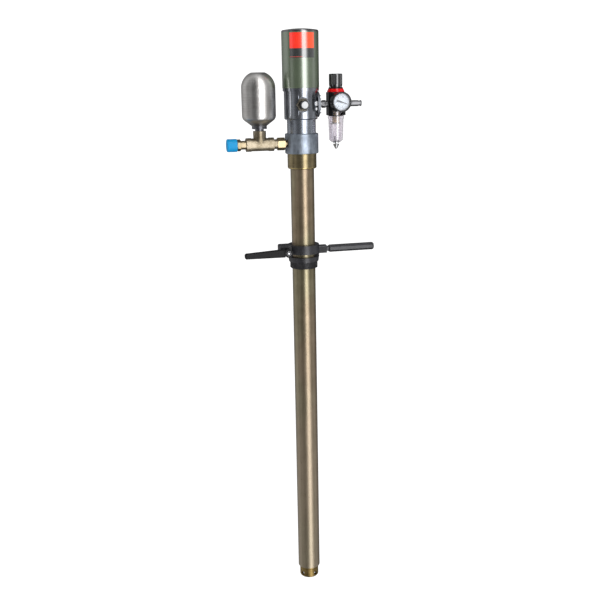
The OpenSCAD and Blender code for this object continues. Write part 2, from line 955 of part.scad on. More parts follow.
// Outlet branch along -X at the height of the oil outlet
nipple_bore_r = 5;
union_x1 = -36;
union_x0 = -53;
union_cut = 1.2;
tee_run_x1 = -tee_x + tee_run / 2;
tee_run_x0 = -tee_x - tee_run / 2;
tee_collar_w = 10.5;
tee_step = 0.8;
tee_body_r = tee_collar_d / 2 - tee_step;
tee_thread_r = 9;
tee_thread_len = 14;
spigot_r = 10;

module outlet_nipple() {
    color("#b59a5c")
        translate([0, 0, oil_z])
            difference() {
                union() {
                    bar_x(-port_face_x, -port_shelf_x, port_thread_r);
                    bar_x(union_x1, -port_face_x, port_thread_r - union_cut);
                    bar_x(union_x1 - union_cut - over, union_x1 + over, port_thread_r);
                }
                bar_x(union_x1 - tee_run, 0, nipple_bore_r);
            }
}

module union_nut() {
    color("#c2a862")
        translate([0, 0, oil_z])
            difference() {
                chamfered_hex_x(union_x0, union_x1, union_af, union_cut);
                bar_x(union_x0 - over, union_x1 + over, port_thread_r + seat_gap);
            }
}

// Tee: a forged body with a collar at each of its three mouths
module tee() {
    top = oil_z + tee_rise;
    neck_r = port_thread_r;
    color("#c0aa72")
        difference() {
            union() {
                translate([0, 0, oil_z]) {
                    bar_x(tee_run_x0, tee_run_x1, tee_body_r);
                    bar_x(tee_run_x0, tee_run_x0 + tee_collar_w, tee_collar_d / 2);
                    bar_x(tee_run_x1 - tee_collar_w, tee_run_x1, tee_collar_d / 2);
                    bar_x(tee_run_x1 - over, union_x0, spigot_r);
                    bar_x(union_x0, union_x1 - union_cut - over, neck_r);
                }
                translate([-tee_x, 0, 0]) {
                    bar_z(oil_z, top, tee_body_r);
                    bar_z(top - tee_collar_w, top, tee_collar_d / 2 - union_cut / 2);
                }
            }
            translate([0, 0, oil_z]) {
                bar_x(tee_run_x0 - over, tee_run_x0 + tee_thread_len, tee_thread_r + seat_gap);
                bar_x(tee_run_x0, 0, nipple_bore_r);
            }
            translate([-tee_x, 0, 0]) {
                bar_z(oil_z, top + over, nipple_bore_r);
                bar_z(top - tee_thread_len, top + over, tee_thread_r + seat_gap);
            }
        }
}

// Surge bottle: a pressed bottle with a cone, a weld neck and a flat crimped top
neck_gap = 4.2;
neck_ring_h = 5.7;
neck_ring_z = oil_z + tee_rise + neck_gap;
bottle_z = neck_ring_z + neck_ring_h;
cone_foot_r = 15;
cone_h = 15;
shoulder_in = 2;
shoulder_r = bottle_d / 2 - shoulder_in;
shoulder_share = 0.933;
shoulder_h = shoulder_r * shoulder_share;
bottle_corner = 12;
corner_steps = 3;

module bottle_neck() {
    stub_z = oil_z + tee_rise - tee_thread_len + over;
    color("#6f7173")
        translate([-tee_x, 0, 0])
            difference() {
                union() {
                    bar_z(stub_z, neck_ring_z + over, tee_thread_r);
                    bar_z(neck_ring_z, bottle_z, neck_ring_d / 2);
                }
                bar_z(stub_z - over, bottle_z + over, nipple_bore_r);
            }
}

// Half outline of the bottle, drawn in by a wall: cone, rounded corner, side and shoulder
module bottle_outline(wall) {
    r = bottle_d / 2 - wall;
    arc = shoulder_r - wall;
    arc_z = bottle_h - shoulder_h;
    slope = atan2(cone_h, bottle_d / 2 - cone_foot_r);
    bend_x = bottle_d / 2 - bottle_corner;
    bend_z = (bottle_corner + (bend_x - cone_foot_r) * sin(slope)) / cos(slope);
    bend_r = bottle_corner - wall;
    bend = [for (i = [0:corner_steps])
        let(turn = (90 - slope) * (i / corner_steps - 1))
            [bend_x + bend_r * cos(turn), bend_z + bend_r * sin(turn)]];
    foot_x = bend[0][0] - (bend[0][1] - wall) / tan(slope);
    polygon(concat([[0, wall], [foot_x, wall]], bend, [[r, arc_z], [0, arc_z]]));
    intersection() {
        union() {
            translate([r - arc, arc_z])
                circle(arc);
            translate([0, arc_z - over])
                square([r - arc, shoulder_h]);
        }
        translate([0, arc_z - over])
            square([r, shoulder_h - wall + over]);
    }
}

module surge_bottle() {
    color("#a9a59c")
        translate([-tee_x, 0, bottle_z])
            difference() {
                rotate_extrude()
                    bottle_outline(0);
                rotate_extrude()
                    bottle_outline(bottle_wall);
                bar_z(-over, 2 * bottle_wall, nipple_bore_r);
            }
}

// Hose nipple: screws into the tee, with a hexagon and the outlet's pipe thread
hose_neck = 11;
hose_hex_w = 8;
hose_thread_len = 15;
hose_hex_x1 = tee_run_x0 - hose_neck;
hose_hex_x0 = hose_hex_x1 - hose_hex_w;

module hose_nipple() {
    thread_r = hose_thread_d / 2;
    color("#bda366")
        translate([0, 0, oil_z])
            difference() {
                union() {
                    bar_x(hose_hex_x1 - over, tee_run_x0 + tee_thread_len - over, tee_thread_r);
                    chamfered_hex_x(hose_hex_x0, hose_hex_x1, hose_af, union_cut);
                    bar_x(hose_hex_x0 - hose_thread_len + union_cut, hose_hex_x0 + over, thread_r);
                    translate([hose_hex_x0 - hose_thread_len, 0, 0])
                        rotate([0, 90, 0])
                            cylinder(h = union_cut, r1 = thread_r - union_cut, r2 = thread_r);
                }
                bar_x(hose_hex_x0 - hose_thread_len - over, tee_run_x0 + tee_thread_len + over,
                    nipple_bore_r);
            }
}

// Thread cap: a push-on plastic cup over the outlet's thread
cap_rest = 0.3;
cap_edge = 1.5;

module thread_cap() {
    x1 = hose_hex_x0 - cap_rest;
    x0 = x1 - cap_len;
    wall_x = hose_hex_x0 - hose_thread_len - 2 * cap_rest;
    color("#1584d6")
        translate([0, 0, oil_z])
            difference() {
                union() {
                    bar_x(x0 + cap_edge, x1, cap_d / 2);
                    translate([x0, 0, 0])
                        rotate([0, 90, 0])
                            cylinder(h = cap_edge, r1 = cap_d / 2 - cap_edge, r2 = cap_d / 2);
                }
                bar_x(wall_x, x1 + over, hose_thread_d / 2 + running_gap);
            }
}

// Air inlet: a nipple with a hexagon between the cover and the regulator
nipple_in = 6;
inlet_bore_r = 4;
inlet_hex_af = 14;
cover_face_x = cover_flat_x + cover_rim_t + cover_bulge;
fr_face = fr_w / 2;
fr_thread = 5;

module inlet_nipple() {
    gap_mid = (cover_face_x + fr_x - fr_face) / 2;
    hex_half = (fr_x - fr_face - cover_face_x) / 4;
    color("#cfcfcb")
        translate([0, 0, port_z])
            difference() {
                union() {
                    bar_x(cover_face_x - nipple_in, fr_x - fr_face + fr_thread, inlet_thread_r);
                    hex_x(gap_mid - hex_half, gap_mid + hex_half, inlet_hex_af);
                }
                bar_x(cover_face_x - nipple_in - over, fr_x - fr_face + fr_thread + over, inlet_bore_r);
            }
}

// Filter-regulator, centred on its own axis
fr_corner = 8;
fr_z0 = port_z - fr_h / 2;
fr_z1 = port_z + fr_h / 2;
bowl_thread_r = 13.5;
bowl_thread_h = 10;
orifice_r = 4;
upper_bore_r = 12;
upper_bore_h = 8;
gauge_thread_r = 4.8;
gauge_thread_len = 6;

module regulator_body() {
    lower_h = bowl_thread_h + free_gap;
    color("#1b1c1e")
        difference() {
            translate([fr_x, 0, fr_z0])
                linear_extrude(height = fr_h)
                    rounded_square(fr_w, fr_corner);
            translate([fr_x, 0, 0]) {
                bar_z(fr_z0 - over, fr_z0 + lower_h, bowl_thread_r + seat_gap);
                bar_z(fr_z0, fr_z1, orifice_r);
                bar_z(fr_z1 - upper_bore_h, fr_z1 + over, upper_bore_r);
            }
            translate([0, 0, port_z]) {
                bar_x(fr_x - fr_face - over, fr_x - fr_face + fr_thread, inlet_thread_r + seat_gap);
                bar_x(fr_x - fr_face, fr_x + fr_face, inlet_bore_r);
                bar_x(fr_x + fr_face - fr_thread, fr_x + fr_face + over, inlet_thread_r + seat_gap);
            }
            translate([fr_x, 0, port_z + gauge_rise])
                bar_y(-fr_face - over, -fr_face + gauge_thread_len, gauge_thread_r + seat_gap);
        }
}

// Air plug: the quick-coupling plug at the air inlet
plug_hex_w = 6;
plug_hex_af = 14;
plug_groove_r = plug_d / 2 - 1.2;
plug_groove_w = 4;
plug_nose = 3;

module air_plug() {
    face = fr_x + fr_face;
    color("#c4c5c4")
        translate([0, 0, port_z])
            difference() {
                union() {
                    bar_x(face - fr_thread, face + over, inlet_thread_r);
                    hex_x(face, face + plug_hex_w, plug_hex_af);
                    bar_x(face + plug_hex_w - over, plug_reach - plug_nose - plug_groove_w, plug_d / 2);
                    bar_x(face + plug_hex_w, plug_reach - plug_nose, plug_groove_r);
                    bar_x(plug_reach - plug_nose, plug_reach - union_cut, plug_d / 2);
                    translate([plug_reach - union_cut, 0, 0])
                        rotate([0, 90, 0])
                            cylinder(h = union_cut, r1 = plug_d / 2, r2 = plug_d / 2 - union_cut);
                }
                bar_x(face - fr_thread - over, plug_reach + over, inlet_bore_r);
            }
}

// Bonnet: clamps the diaphragm and carries the range spring and the adjusting screw
bonnet_foot_h = 3;
bonnet_foot_r = 13.5;
bonnet_r = 10;
bonnet_wall = 1.5;
bonnet_roof = 2.5;
bonnet_h = 31;
diaphragm_t = 1.2;
screw_shaft_r = 3;
plate_t = 4;
plate_drop = 4.7;
spring_wire = 1.5;
knob_rest = 0.3;
plate_gap = 2;
plate_z = fr_z1 + bonnet_h - bonnet_roof - plate_t - plate_gap;

module diaphragm() {
    color("#26262a")
        translate([fr_x, 0, 0])
            bar_z(fr_z1, fr_z1 + diaphragm_t, bonnet_foot_r);
}

module bonnet() {
    foot_z0 = fr_z1 + diaphragm_t;
    top = fr_z1 + bonnet_h;
    color("#222326")
        translate([fr_x, 0, 0])
            difference() {
                union() {
                    bar_z(foot_z0, foot_z0 + bonnet_foot_h, bonnet_foot_r);
                    bar_z(foot_z0, top, bonnet_r);
                }
                bar_z(foot_z0 - over, top - bonnet_roof, bonnet_r - bonnet_wall);
                bar_z(foot_z0, top + over, screw_shaft_r + running_gap);
            }
}

// Lock ring: the red cone between the body and the knob
lock_ring_foot_share = 0.2;

module lock_ring() {
    top = fr_z1 + lock_ring_h;
    step_z = fr_z1 + diaphragm_t + bonnet_foot_h;
    color("#e3161b")
        translate([fr_x, 0, 0])
            difference() {
                union() {
                    bar_z(fr_z1, fr_z1 + lock_ring_h * lock_ring_foot_share, fr_face);
                    cone_z(fr_z1 + lock_ring_h * lock_ring_foot_share, top, fr_face, knob_d / 2);
                }
                bar_z(fr_z1 - over, top + over, bonnet_r + seat_gap);
                bar_z(fr_z1 - over, step_z, bonnet_foot_r + seat_gap);
            }
}

// Range spring between the diaphragm and the plate, closed up in the bonnet
module range_spring() {
    r = bonnet_r - bonnet_wall - free_gap;
    color("#9da0a3")
        translate([fr_x, 0, 0])
            difference() {
                bar_z(fr_z1 + diaphragm_t, plate_z, r);
                bar_z(fr_z1, plate_z + over, r - spring_wire);
            }
}

// Spring plate: the nut that the adjusting screw drives down on the spring
module spring_plate() {
    color("#a78a4b")
        translate([fr_x, 0, 0])
            difference() {
                bar_z(plate_z, plate_z + plate_t, bonnet_r - bonnet_wall - free_gap);
                bar_z(plate_z - over, plate_z + plate_t + over, screw_shaft_r + running_gap);
            }
}

// Adjusting screw: turned by the knob, threaded through the spring plate
screw_head_af = 9;
screw_head_t = 4;

module adjusting_screw() {
    head_z = fr_z1 + bonnet_h + free_gap;
    foot = plate_z - plate_drop - plate_gap;
    color("#b4b6b8")
        translate([fr_x, 0, 0]) {
            bar_z(foot, head_z + over, screw_shaft_r);
            hex_z(head_z, head_z + screw_head_t, screw_head_af);
        }
}

// Regulator knob: a ribbed cap that lifts off its lock and turns the screw
knob_waist = 0.8;
knob_waist_h = 5;
knob_rib_n = 20;
knob_rib_r = 1.1;
knob_edge = 2;

module knob_cap() {
    r = knob_d / 2;
    translate([0, 0, knob_h - knob_edge])
        rotate_extrude() {
            square([r - knob_edge, knob_edge]);
            intersection() {
                translate([r - knob_edge, 0])
                    circle(knob_edge);
                translate([r - 2 * knob_edge, 0])
                    square([2 * knob_edge, knob_edge]);
            }
        }
}

module knob_ribs() {
    translate([0, 0, knob_waist_h])
        linear_extrude(height = knob_h - knob_edge - knob_waist_h)
            difference() {
                circle(knob_d / 2);
                for (i = [0:knob_rib_n - 1])
                    rotate((i + 0.5) * 360 / knob_rib_n)
                        translate([knob_d / 2 + knob_rib_r / 2, 0])
                            circle(knob_rib_r);
            }
}

module regulator_knob() {
    z = fr_z1 + lock_ring_h + knob_rest;
    head_top = fr_z1 + bonnet_h + free_gap + screw_head_t;
    waist_r = knob_d / 2 - knob_waist;
    color("#202124")
        translate([fr_x, 0, z])
            difference() {
                union() {
                    cone_z(0, knob_waist_h, waist_r, knob_d / 2);
                    knob_ribs();
                    knob_cap();
                }
                bar_z(-over, fr_z1 + bonnet_h + free_gap - z, bonnet_r + free_gap);
                hex_z(-over, head_top + free_gap - z, screw_head_af + 2 * free_gap);
            }
}

// Pressure gauge on the front of the regulator
gauge_neck = 7;
gauge_face_y = -fr_face - gauge_neck;
gauge_front_y = gauge_face_y - gauge_depth;
gauge_wall = 2;
gauge_well = 8;
lens_t = 1.5;
dial_t = 0.8;
gauge_square = 11;
arbor_r = 1.2;
needle_t = 0.5;
needle_w = 1.4;
needle_turn = -18;
needle_tip_share = 0.3;
needle_tail_share = 0.24;
needle_hub_share = 0.7;
needle_end_share = 0.2;
gauge_rim = 1.5;

module at_gauge() {
    translate([fr_x, 0, port_z + gauge_rise])
        children();
}

module gauge_stem() {
    color("#b79d5b")
        at_gauge()
            difference() {
                union() {
                    bar_y(-fr_face - over, -fr_face + gauge_thread_len, gauge_thread_r);
                    translate([-gauge_square / 2, gauge_face_y, -gauge_square / 2])
                        cube([gauge_square, -fr_face - gauge_face_y, gauge_square]);
                }
                bar_y(gauge_face_y - over, -fr_face + gauge_thread_len + over, gauge_thread_r / 2);
            }
}

module gauge_case() {
    r = gauge_d / 2;
    color("#17181a")
        at_gauge()
            difference() {
                union() {
                    bar_y(gauge_front_y + gauge_rim, gauge_face_y, r - gauge_rim / 2);
                    bar_y(gauge_front_y + gauge_rim, gauge_front_y + 3 * gauge_rim, r);
                    translate([0, gauge_front_y, 0])
                        rotate([-90, 0, 0])
                            cylinder(h = gauge_rim, r1 = r - gauge_rim / 2, r2 = r);
                }
                bar_y(gauge_front_y - over, gauge_front_y + gauge_well, r - gauge_wall - gauge_rim / 2);
            }
}

module gauge_dial() {
    well_y = gauge_front_y + gauge_well;
    color("#f3f5f7")
        at_gauge()
            difference() {
                bar_y(well_y - dial_t, well_y, gauge_d / 2 - gauge_wall - gauge_rim / 2 - seat_gap);
                bar_y(well_y - dial_t - over, well_y + over, arbor_r + free_gap);
            }
}

// The needle turns with its arbor and stands at zero
module gauge_needle() {
    y1 = gauge_front_y + gauge_well - dial_t - free_gap;
    y0 = y1 - needle_t;
    tip = gauge_d * needle_tip_share;
    tail = gauge_d * needle_tail_share;
    color("#2d3238")
        at_gauge() {
            bar_y(y0 - needle_t, gauge_front_y + gauge_well - free_gap, arbor_r);
            rotate([0, -needle_turn, 0])
                translate([0, y1, 0])
                    rotate([90, 0, 0])
                        linear_extrude(height = needle_t)
                            polygon([
                                [-tail, -needle_w], [0, -needle_w * needle_hub_share],
                                [tip, -needle_w * needle_end_share], [tip, needle_w * needle_end_share],
                                [0, needle_w * needle_hub_share], [-tail, needle_w]
                            ]);
        }
}

module gauge_lens() {
    y0 = gauge_front_y + lens_t / 2;
    color("#dfe9ee", 0.35)
        at_gauge()
            bar_y(y0, y0 + lens_t, gauge_d / 2 - gauge_wall - gauge_rim / 2 - seat_gap);
}

// Bowl: a clear cup screwed into the body, with the drain at its foot
bowl_wall = 2;
bowl_rim_d = 34;
bowl_rim_h = 7;
bowl_draft = 1;
bowl_foot_r = 8;
bowl_seal_h = 1.5;
drain_hole_r = 5;
bowl_z = fr_z0 - bowl_h;

// Half outline of the bowl, drawn in by a wall: a drafted cup with a round foot
module bowl_outline(wall) {
    r1 = bowl_d / 2 - wall;
    r0 = r1 - bowl_draft;
    foot = bowl_foot_r - wall;
    polygon([[0, bowl_foot_r], [r0, bowl_foot_r], [r1, bowl_h - bowl_rim_h], [r1, bowl_h], [0, bowl_h]]);
    translate([0, wall])
        square([r0 - foot, bowl_foot_r]);
    intersection() {
        translate([r0 - foot, bowl_foot_r])
            circle(foot);
        translate([0, wall])
            square([r0, bowl_foot_r]);
    }
}

module bowl() {
    color("#e9ecf2", 0.35)
        translate([fr_x, 0, bowl_z])
            difference() {
                union() {
                    rotate_extrude()
                        bowl_outline(0);
                    bar_z(bowl_h - bowl_rim_h, bowl_h - bowl_seal_h, bowl_rim_d / 2);
                    bar_z(bowl_h - over, bowl_h + bowl_thread_h, bowl_thread_r);
                }
                difference() {
                    rotate_extrude()
                        bowl_outline(bowl_wall);
                    bar_z(bowl_h - bowl_rim_h, bowl_h + over, bowl_d);
                }
                bar_z(bowl_h - 2 * bowl_rim_h, bowl_h + bowl_thread_h + over, bowl_thread_r - bowl_wall);
                bar_z(-over, bowl_foot_r, drain_hole_r + seat_gap);
                difference() {
                    bar_z(bowl_h - bowl_seal_h, bowl_h, bowl_rim_d);
                    bar_z(bowl_h - 2 * bowl_seal_h, bowl_h + over, bowl_thread_r);
                }
            }
}

module bowl_seal() {
    color("#2a2a2a")
        translate([fr_x, 0, 0])
            difference() {
                bar_z(fr_z0 - bowl_seal_h, fr_z0, bowl_d / 2);
                bar_z(fr_z0 - 2 * bowl_seal_h, fr_z0 + over, bowl_thread_r + seat_gap);
            }
}

// Filter element and the baffle that holds it up, hung from the body
element_len = 15;
baffle_t = 2.5;
baffle_r = 11;
stud_r = 2;
stud_in = 4;
element_top = fr_z0 + bowl_thread_h + free_gap;
element_z = fr_z0 - element_len;

module filter_element() {
    color("#d79a3d")
        translate([fr_x, 0, 0])
            difference() {
                bar_z(element_z, element_top, element_d / 2);
                bar_z(element_z - over, element_top + over, stud_r + seat_gap);
            }
}

module baffle() {
    color("#f4f1ee")
        translate([fr_x, 0, 0]) {
            cone_z(element_z - baffle_t, element_z, baffle_r, element_d / 2);
            bar_z(element_z - over, element_top + stud_in, stud_r);
        }
}

// Drain at the bowl's foot: a bush, a valve that is pushed up, and the spring that shuts it
drain_flange_r = 7;
drain_flange_h = 1.5;
bush_len = 13;
bush_floor = 2;
bush_wall = 1.2;
stem_r = 2;
drain_cone_h = 9.8;
drain_cone_r = 6.9;
drain_tip_share = 0.3;
drain_gap = 2.8;
drain_head_h = 1.5;
drain_top = bowl_z + bush_len - drain_flange_h;
drain_well_r = drain_hole_r - bush_wall;
drain_head_z = bowl_z + bush_floor + free_gap;

module drain_bush() {
    color("#8e9092")
        translate([fr_x, 0, 0])
            difference() {
                union() {
                    bar_z(bowl_z - drain_flange_h, bowl_z, drain_flange_r);
                    bar_z(bowl_z - over, drain_top, drain_hole_r);
                }
                bar_z(bowl_z - drain_flange_h - over, drain_top + over, stem_r + running_gap);
                bar_z(bowl_z + bush_floor, drain_top - bush_floor, drain_well_r);
            }
}

module drain_spring() {
    color("#a5a7a9")
        translate([fr_x, 0, 0])
            difference() {
                bar_z(drain_head_z + drain_head_h, drain_top - bush_floor, drain_well_r - free_gap);
                bar_z(drain_head_z, drain_top, stem_r + free_gap);
            }
}

module drain_valve() {
    cone_top = bowl_z - drain_flange_h - drain_gap;
    color("#b9bbbc")
        translate([fr_x, 0, 0]) {
            cone_z(cone_top - drain_cone_h, cone_top, drain_cone_r * drain_tip_share, drain_cone_r);
            bar_z(cone_top - over, drain_top, stem_r);
            bar_z(drain_head_z, drain_head_z + drain_head_h, drain_well_r - free_gap);
        }
}

bung_adapter();
turning_bar();
clamp_bolt();
clamp_lever();
tube_seal();
air_cylinder();
valve_body();
inlet_cover();
cover_screws();
silencer_body();
silencer_core();
guide_housing();
rod_bush();
rod_seal();
outlet_body();
lock_collar();
suction_tube();
foot_valve();
foot_seat();
foot_pin();
foot_ball();
piston_rod();
rod_nut();
air_piston();
air_piston_seal();
pump_piston();
pump_piston_seal();
piston_ball();
pilot_spool();
outlet_nipple();
union_nut();
tee();
bottle_neck();
surge_bottle();
hose_nipple();
thread_cap();
inlet_nipple();
regulator_body();
air_plug();
diaphragm();
range_spring();
spring_plate();
bonnet();
lock_ring();
adjusting_screw();
regulator_knob();
gauge_stem();
gauge_case();
gauge_dial();
gauge_needle();
gauge_lens();
filter_element();
baffle();
bowl();
bowl_seal();
drain_bush();
drain_spring();
drain_valve();
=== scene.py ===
import math

import bpy
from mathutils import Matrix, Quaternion, Vector


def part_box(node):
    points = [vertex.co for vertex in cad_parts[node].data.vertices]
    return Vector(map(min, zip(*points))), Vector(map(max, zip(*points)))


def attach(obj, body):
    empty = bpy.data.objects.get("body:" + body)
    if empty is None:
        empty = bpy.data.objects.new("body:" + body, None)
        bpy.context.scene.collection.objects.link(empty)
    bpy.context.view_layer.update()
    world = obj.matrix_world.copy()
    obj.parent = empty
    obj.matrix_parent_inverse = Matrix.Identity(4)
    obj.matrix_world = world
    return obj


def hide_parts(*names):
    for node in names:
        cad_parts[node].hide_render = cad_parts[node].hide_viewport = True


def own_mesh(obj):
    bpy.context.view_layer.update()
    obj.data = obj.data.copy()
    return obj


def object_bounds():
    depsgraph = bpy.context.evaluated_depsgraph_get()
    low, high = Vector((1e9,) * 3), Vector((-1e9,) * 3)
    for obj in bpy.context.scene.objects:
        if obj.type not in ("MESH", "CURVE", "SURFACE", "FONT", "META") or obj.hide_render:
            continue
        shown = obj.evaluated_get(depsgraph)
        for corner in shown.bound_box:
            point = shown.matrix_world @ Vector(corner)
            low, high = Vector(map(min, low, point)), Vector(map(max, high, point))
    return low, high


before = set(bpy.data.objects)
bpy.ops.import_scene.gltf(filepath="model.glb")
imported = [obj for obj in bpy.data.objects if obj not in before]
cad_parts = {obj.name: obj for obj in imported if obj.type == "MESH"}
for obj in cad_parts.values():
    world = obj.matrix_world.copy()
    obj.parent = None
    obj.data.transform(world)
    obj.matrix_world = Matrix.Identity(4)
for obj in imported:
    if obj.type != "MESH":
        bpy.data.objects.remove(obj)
cad_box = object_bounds()
bpy.ops.object.select_all(action="DESELECT")


# Suction tube: seamless drawn steel, zinc plated and yellow passivated, so that its skin is
# satin olive gold with faint drawing lines along it, cloudy patches and a few rubbed places.
class Wire:
    """One socket of a shader tree that Python can reckon with."""

    def __init__(self, tree, socket):
        self.tree = tree
        self.socket = socket

    def add(self, kind, settings=None, inputs=None, output=0):
        """Adds any node: its settings first, then its inputs, and gives one of its outputs."""
        made = self.tree.nodes.new(kind)
        for name, value in (settings or {}).items():
            setattr(made, name, value)
        for name, value in (inputs or {}).items():
            if isinstance(value, Wire):
                self.tree.links.new(value.socket, made.inputs[name])
            else:
                made.inputs[name].default_value = value
        return Wire(self.tree, made.outputs[output])

    def maths(self, operation, *terms):
        return self.add("ShaderNodeMath", {"operation": operation}, dict(enumerate(terms)))

    def __add__(self, other):
        return self.maths("ADD", self, other)

    def __sub__(self, other):
        return self.maths("SUBTRACT", self, other)

    def __rsub__(self, other):
        return self.maths("SUBTRACT", other, self)

    def __mul__(self, other):
        return self.maths("MULTIPLY", self, other)

    __radd__ = __add__
    __rmul__ = __mul__

    def rise(self, low, high):
        """0 below low, 1 above high, and smooth between them."""
        return self.add("ShaderNodeMapRange", {"interpolation_type": "SMOOTHSTEP"},
                        {"Value": self, "From Min": low, "From Max": high})

    def noise(self, per_metre, detail=3.0, rough=0.55):
        """Noise at this place, with so many waves to the metre, the same along X, Y and Z or
        one number for each."""
        if not isinstance(per_metre, tuple):
            per_metre = (per_metre,) * 3
        spot = self.add("ShaderNodeMapping", None, {"Vector": self, "Scale": per_metre})
        return self.add("ShaderNodeTexNoise", None, {
            "Vector": spot, "Scale": 1.0, "Detail": detail, "Roughness": rough})

    def part(self, axis):
        """The X, Y or Z share of a place."""
        return self.add("ShaderNodeSeparateXYZ", None, {"Vector": self}, "XYZ".index(axis))

    def blend(self, from_colour, to_colour):
        """One colour at 0 and another at 1."""
        def ends(colour):
            return colour if isinstance(colour, Wire) else (*colour, 1.0)
        return self.add("ShaderNodeMix", {"data_type": "RGBA"},
                        {0: self, 6: ends(from_colour), 7: ends(to_colour)}, 2)


class Finish:
    """A material that is being mixed: place is each point in metres, and shade its shader."""

    def __init__(self, name, **numbers):
        self.material = bpy.data.materials.new(name)
        self.material.use_nodes = True
        self.tree = self.material.node_tree
        self.shader = self.tree.nodes["Principled BSDF"]
        self.place = Wire(self.tree, self.tree.nodes.new("ShaderNodeTexCoord").outputs["Object"])
        for name, number in numbers.items():
            socket = name.replace("_", " ").title().replace("Ior", "IOR")
            self.shader.inputs[socket].default_value = number

    def feed(self, socket, wire):
        self.tree.links.new(wire.socket, self.shader.inputs[socket])
        return self

    def relief(self, height, depth):
        """Bump whose highest point stands so many metres over its lowest."""
        bump = height.add("ShaderNodeBump", None, {
            "Height": height, "Distance": depth, "Strength": 1.0}, "Normal")
        return self.feed("Normal", bump)


def skin(name, light, dark, gloss, grain, depth, metal=0.0, dirt=None, cloud=35.0, **numbers):
    """A worked surface: a light and a dark shade in soft clouds, gloss as its low and high
    roughness, a grain in waves to the metre with its depth in metres, and dirt in patches."""
    made = Finish(name, metallic=metal, **numbers)
    clouds = made.place.noise(cloud, 4.0)
    fine = made.place.noise(grain, 2.0)
    shade = (clouds * 0.6 + fine * 0.4).rise(0.36, 0.64)
    colour = shade.blend(dark, light)
    rough = gloss[0] + (gloss[1] - gloss[0]) * (clouds * 0.5 + fine * 0.5)
    if dirt:
        spots = made.place.noise(cloud * 6, 5.0, 0.7).rise(0.60, 0.72)
        colour = (spots * 0.7).blend(colour, dirt)
        rough = rough + spots * 0.15
    made.feed("Base Color", colour).feed("Roughness", rough)
    made.relief(fine, depth)
    return made.material


def dress(material, *names):
    """Gives CAD nodes their finish."""
    for name in names:
        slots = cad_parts[name].data.materials
        slots.clear()
        slots.append(material)


# The passivation is browner in some patches and greener in others. Lower down it is rougher,
# and its colour is painted paler and pinker there: painted light on the tube's lower part.
tube_made = Finish("tube_skin", metallic=0.85, coat_weight=0.5, coat_roughness=0.30)
drawn = tube_made.place.noise((260, 260, 14), 2.0)
cloudy = tube_made.place.noise(35, 4.0)
patchy = tube_made.place.noise((11, 11, 5), 2.0).rise(0.40, 0.60)
lower_painted_light = 1 - tube_made.place.part("Z").rise(-0.60, 0.05)
shade = (cloudy * 0.6 + drawn * 0.4).rise(0.36, 0.64)
brown = shade.blend((0.235, 0.176, 0.108), (0.325, 0.245, 0.160))
olive = shade.blend((0.222, 0.190, 0.108), (0.300, 0.262, 0.160))
# Painted light: the colour blends paler and pinker towards the bottom of the tube.
bronze = (lower_painted_light * 0.55).blend(patchy.blend(brown, olive), (0.40, 0.335, 0.245))
spots = tube_made.place.noise(210, 5.0, 0.7).rise(0.60, 0.72)
tube_made.feed("Base Color", (spots * 0.6).blend(bronze, (0.11, 0.08, 0.05)))
tube_made.feed("Roughness", 0.26 + cloudy * 0.06 + drawn * 0.06 + spots * 0.12 + lower_painted_light * 0.10)
tube_made.relief(drawn, 0.00003)
dress(tube_made.material, "suction_tube")

# Foot valve: a turned brass-coloured strainer under the tube with a spigot inside it, a
# hardened seat, a ball that lifts to let oil in, and the pin that stops the ball.
foot_skin = skin("foot_skin", (0.40, 0.285, 0.105), (0.20, 0.135, 0.045), (0.38, 0.50),
                 (60, 60, 900), 0.00003, metal=0.9, dirt=(0.12, 0.09, 0.05))
steel_skin = skin("steel_skin", (0.66, 0.67, 0.67), (0.48, 0.49, 0.50), (0.22, 0.36),
                  400, 0.00002, metal=1.0, dirt=(0.25, 0.24, 0.22))
ball_skin = skin("ball_skin", (0.78, 0.79, 0.80), (0.66, 0.67, 0.68), (0.06, 0.12),
                 900, 0.000004, metal=1.0)
foot_edge = skin("foot_edge", (0.80, 0.64, 0.30), (0.62, 0.48, 0.20), (0.18, 0.30),
                 (60, 60, 900), 0.00002, metal=0.95)


def alone(piece):
    """Makes one piece the only thing that the next operator acts on."""
    bpy.ops.object.select_all(action="DESELECT")
    piece.select_set(True)
    bpy.context.view_layer.objects.active = piece


def copied(node):
    """A clean copy of a CAD node: its loose triangles joined, and its flats made whole."""
    piece = bpy.data.objects.new(node + "_finished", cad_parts[node].data.copy())
    bpy.context.scene.collection.objects.link(piece)
    alone(piece)
    bpy.ops.object.mode_set(mode="EDIT")
    bpy.ops.mesh.select_all(action="SELECT")
    bpy.ops.mesh.remove_doubles(threshold=0.000005)
    bpy.ops.mesh.dissolve_limited(angle_limit=math.radians(0.6))
    bpy.ops.mesh.select_all(action="DESELECT")
    bpy.ops.object.mode_set(mode="OBJECT")
    bpy.ops.mesh.customdata_custom_splitnormals_clear()
    return piece


def broken(piece, finish, edge_finish=None, edge=0.0004, sharp=35):
    """Breaks a piece's edges that turn by more than so many degrees, so many metres wide, as
    a file or a tumbler does, and gives the piece its finish and the broken edges theirs."""
    piece.data.materials.clear()
    piece.data.materials.append(finish)
    piece.data.materials.append(edge_finish or finish)
    for face in piece.data.polygons:
        face.material_index = 0
    alone(piece)
    bevel = piece.modifiers.new("edges", "BEVEL")
    bevel.width, bevel.segments = edge, 2
    bevel.limit_method, bevel.angle_limit = "ANGLE", math.radians(sharp)
    bevel.material = 1
    bpy.ops.object.modifier_apply(modifier="edges")
    bpy.ops.object.shade_smooth_by_angle(angle=math.radians(50))
    flats = piece.modifiers.new("flats", "WEIGHTED_NORMAL")
    flats.keep_sharp = True
    bpy.ops.object.modifier_apply(modifier="flats")
    return piece


def stands_for(piece, node, body):
    """The piece rides on the node's body and is seen in the node's place."""
    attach(piece, body)
    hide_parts(node)


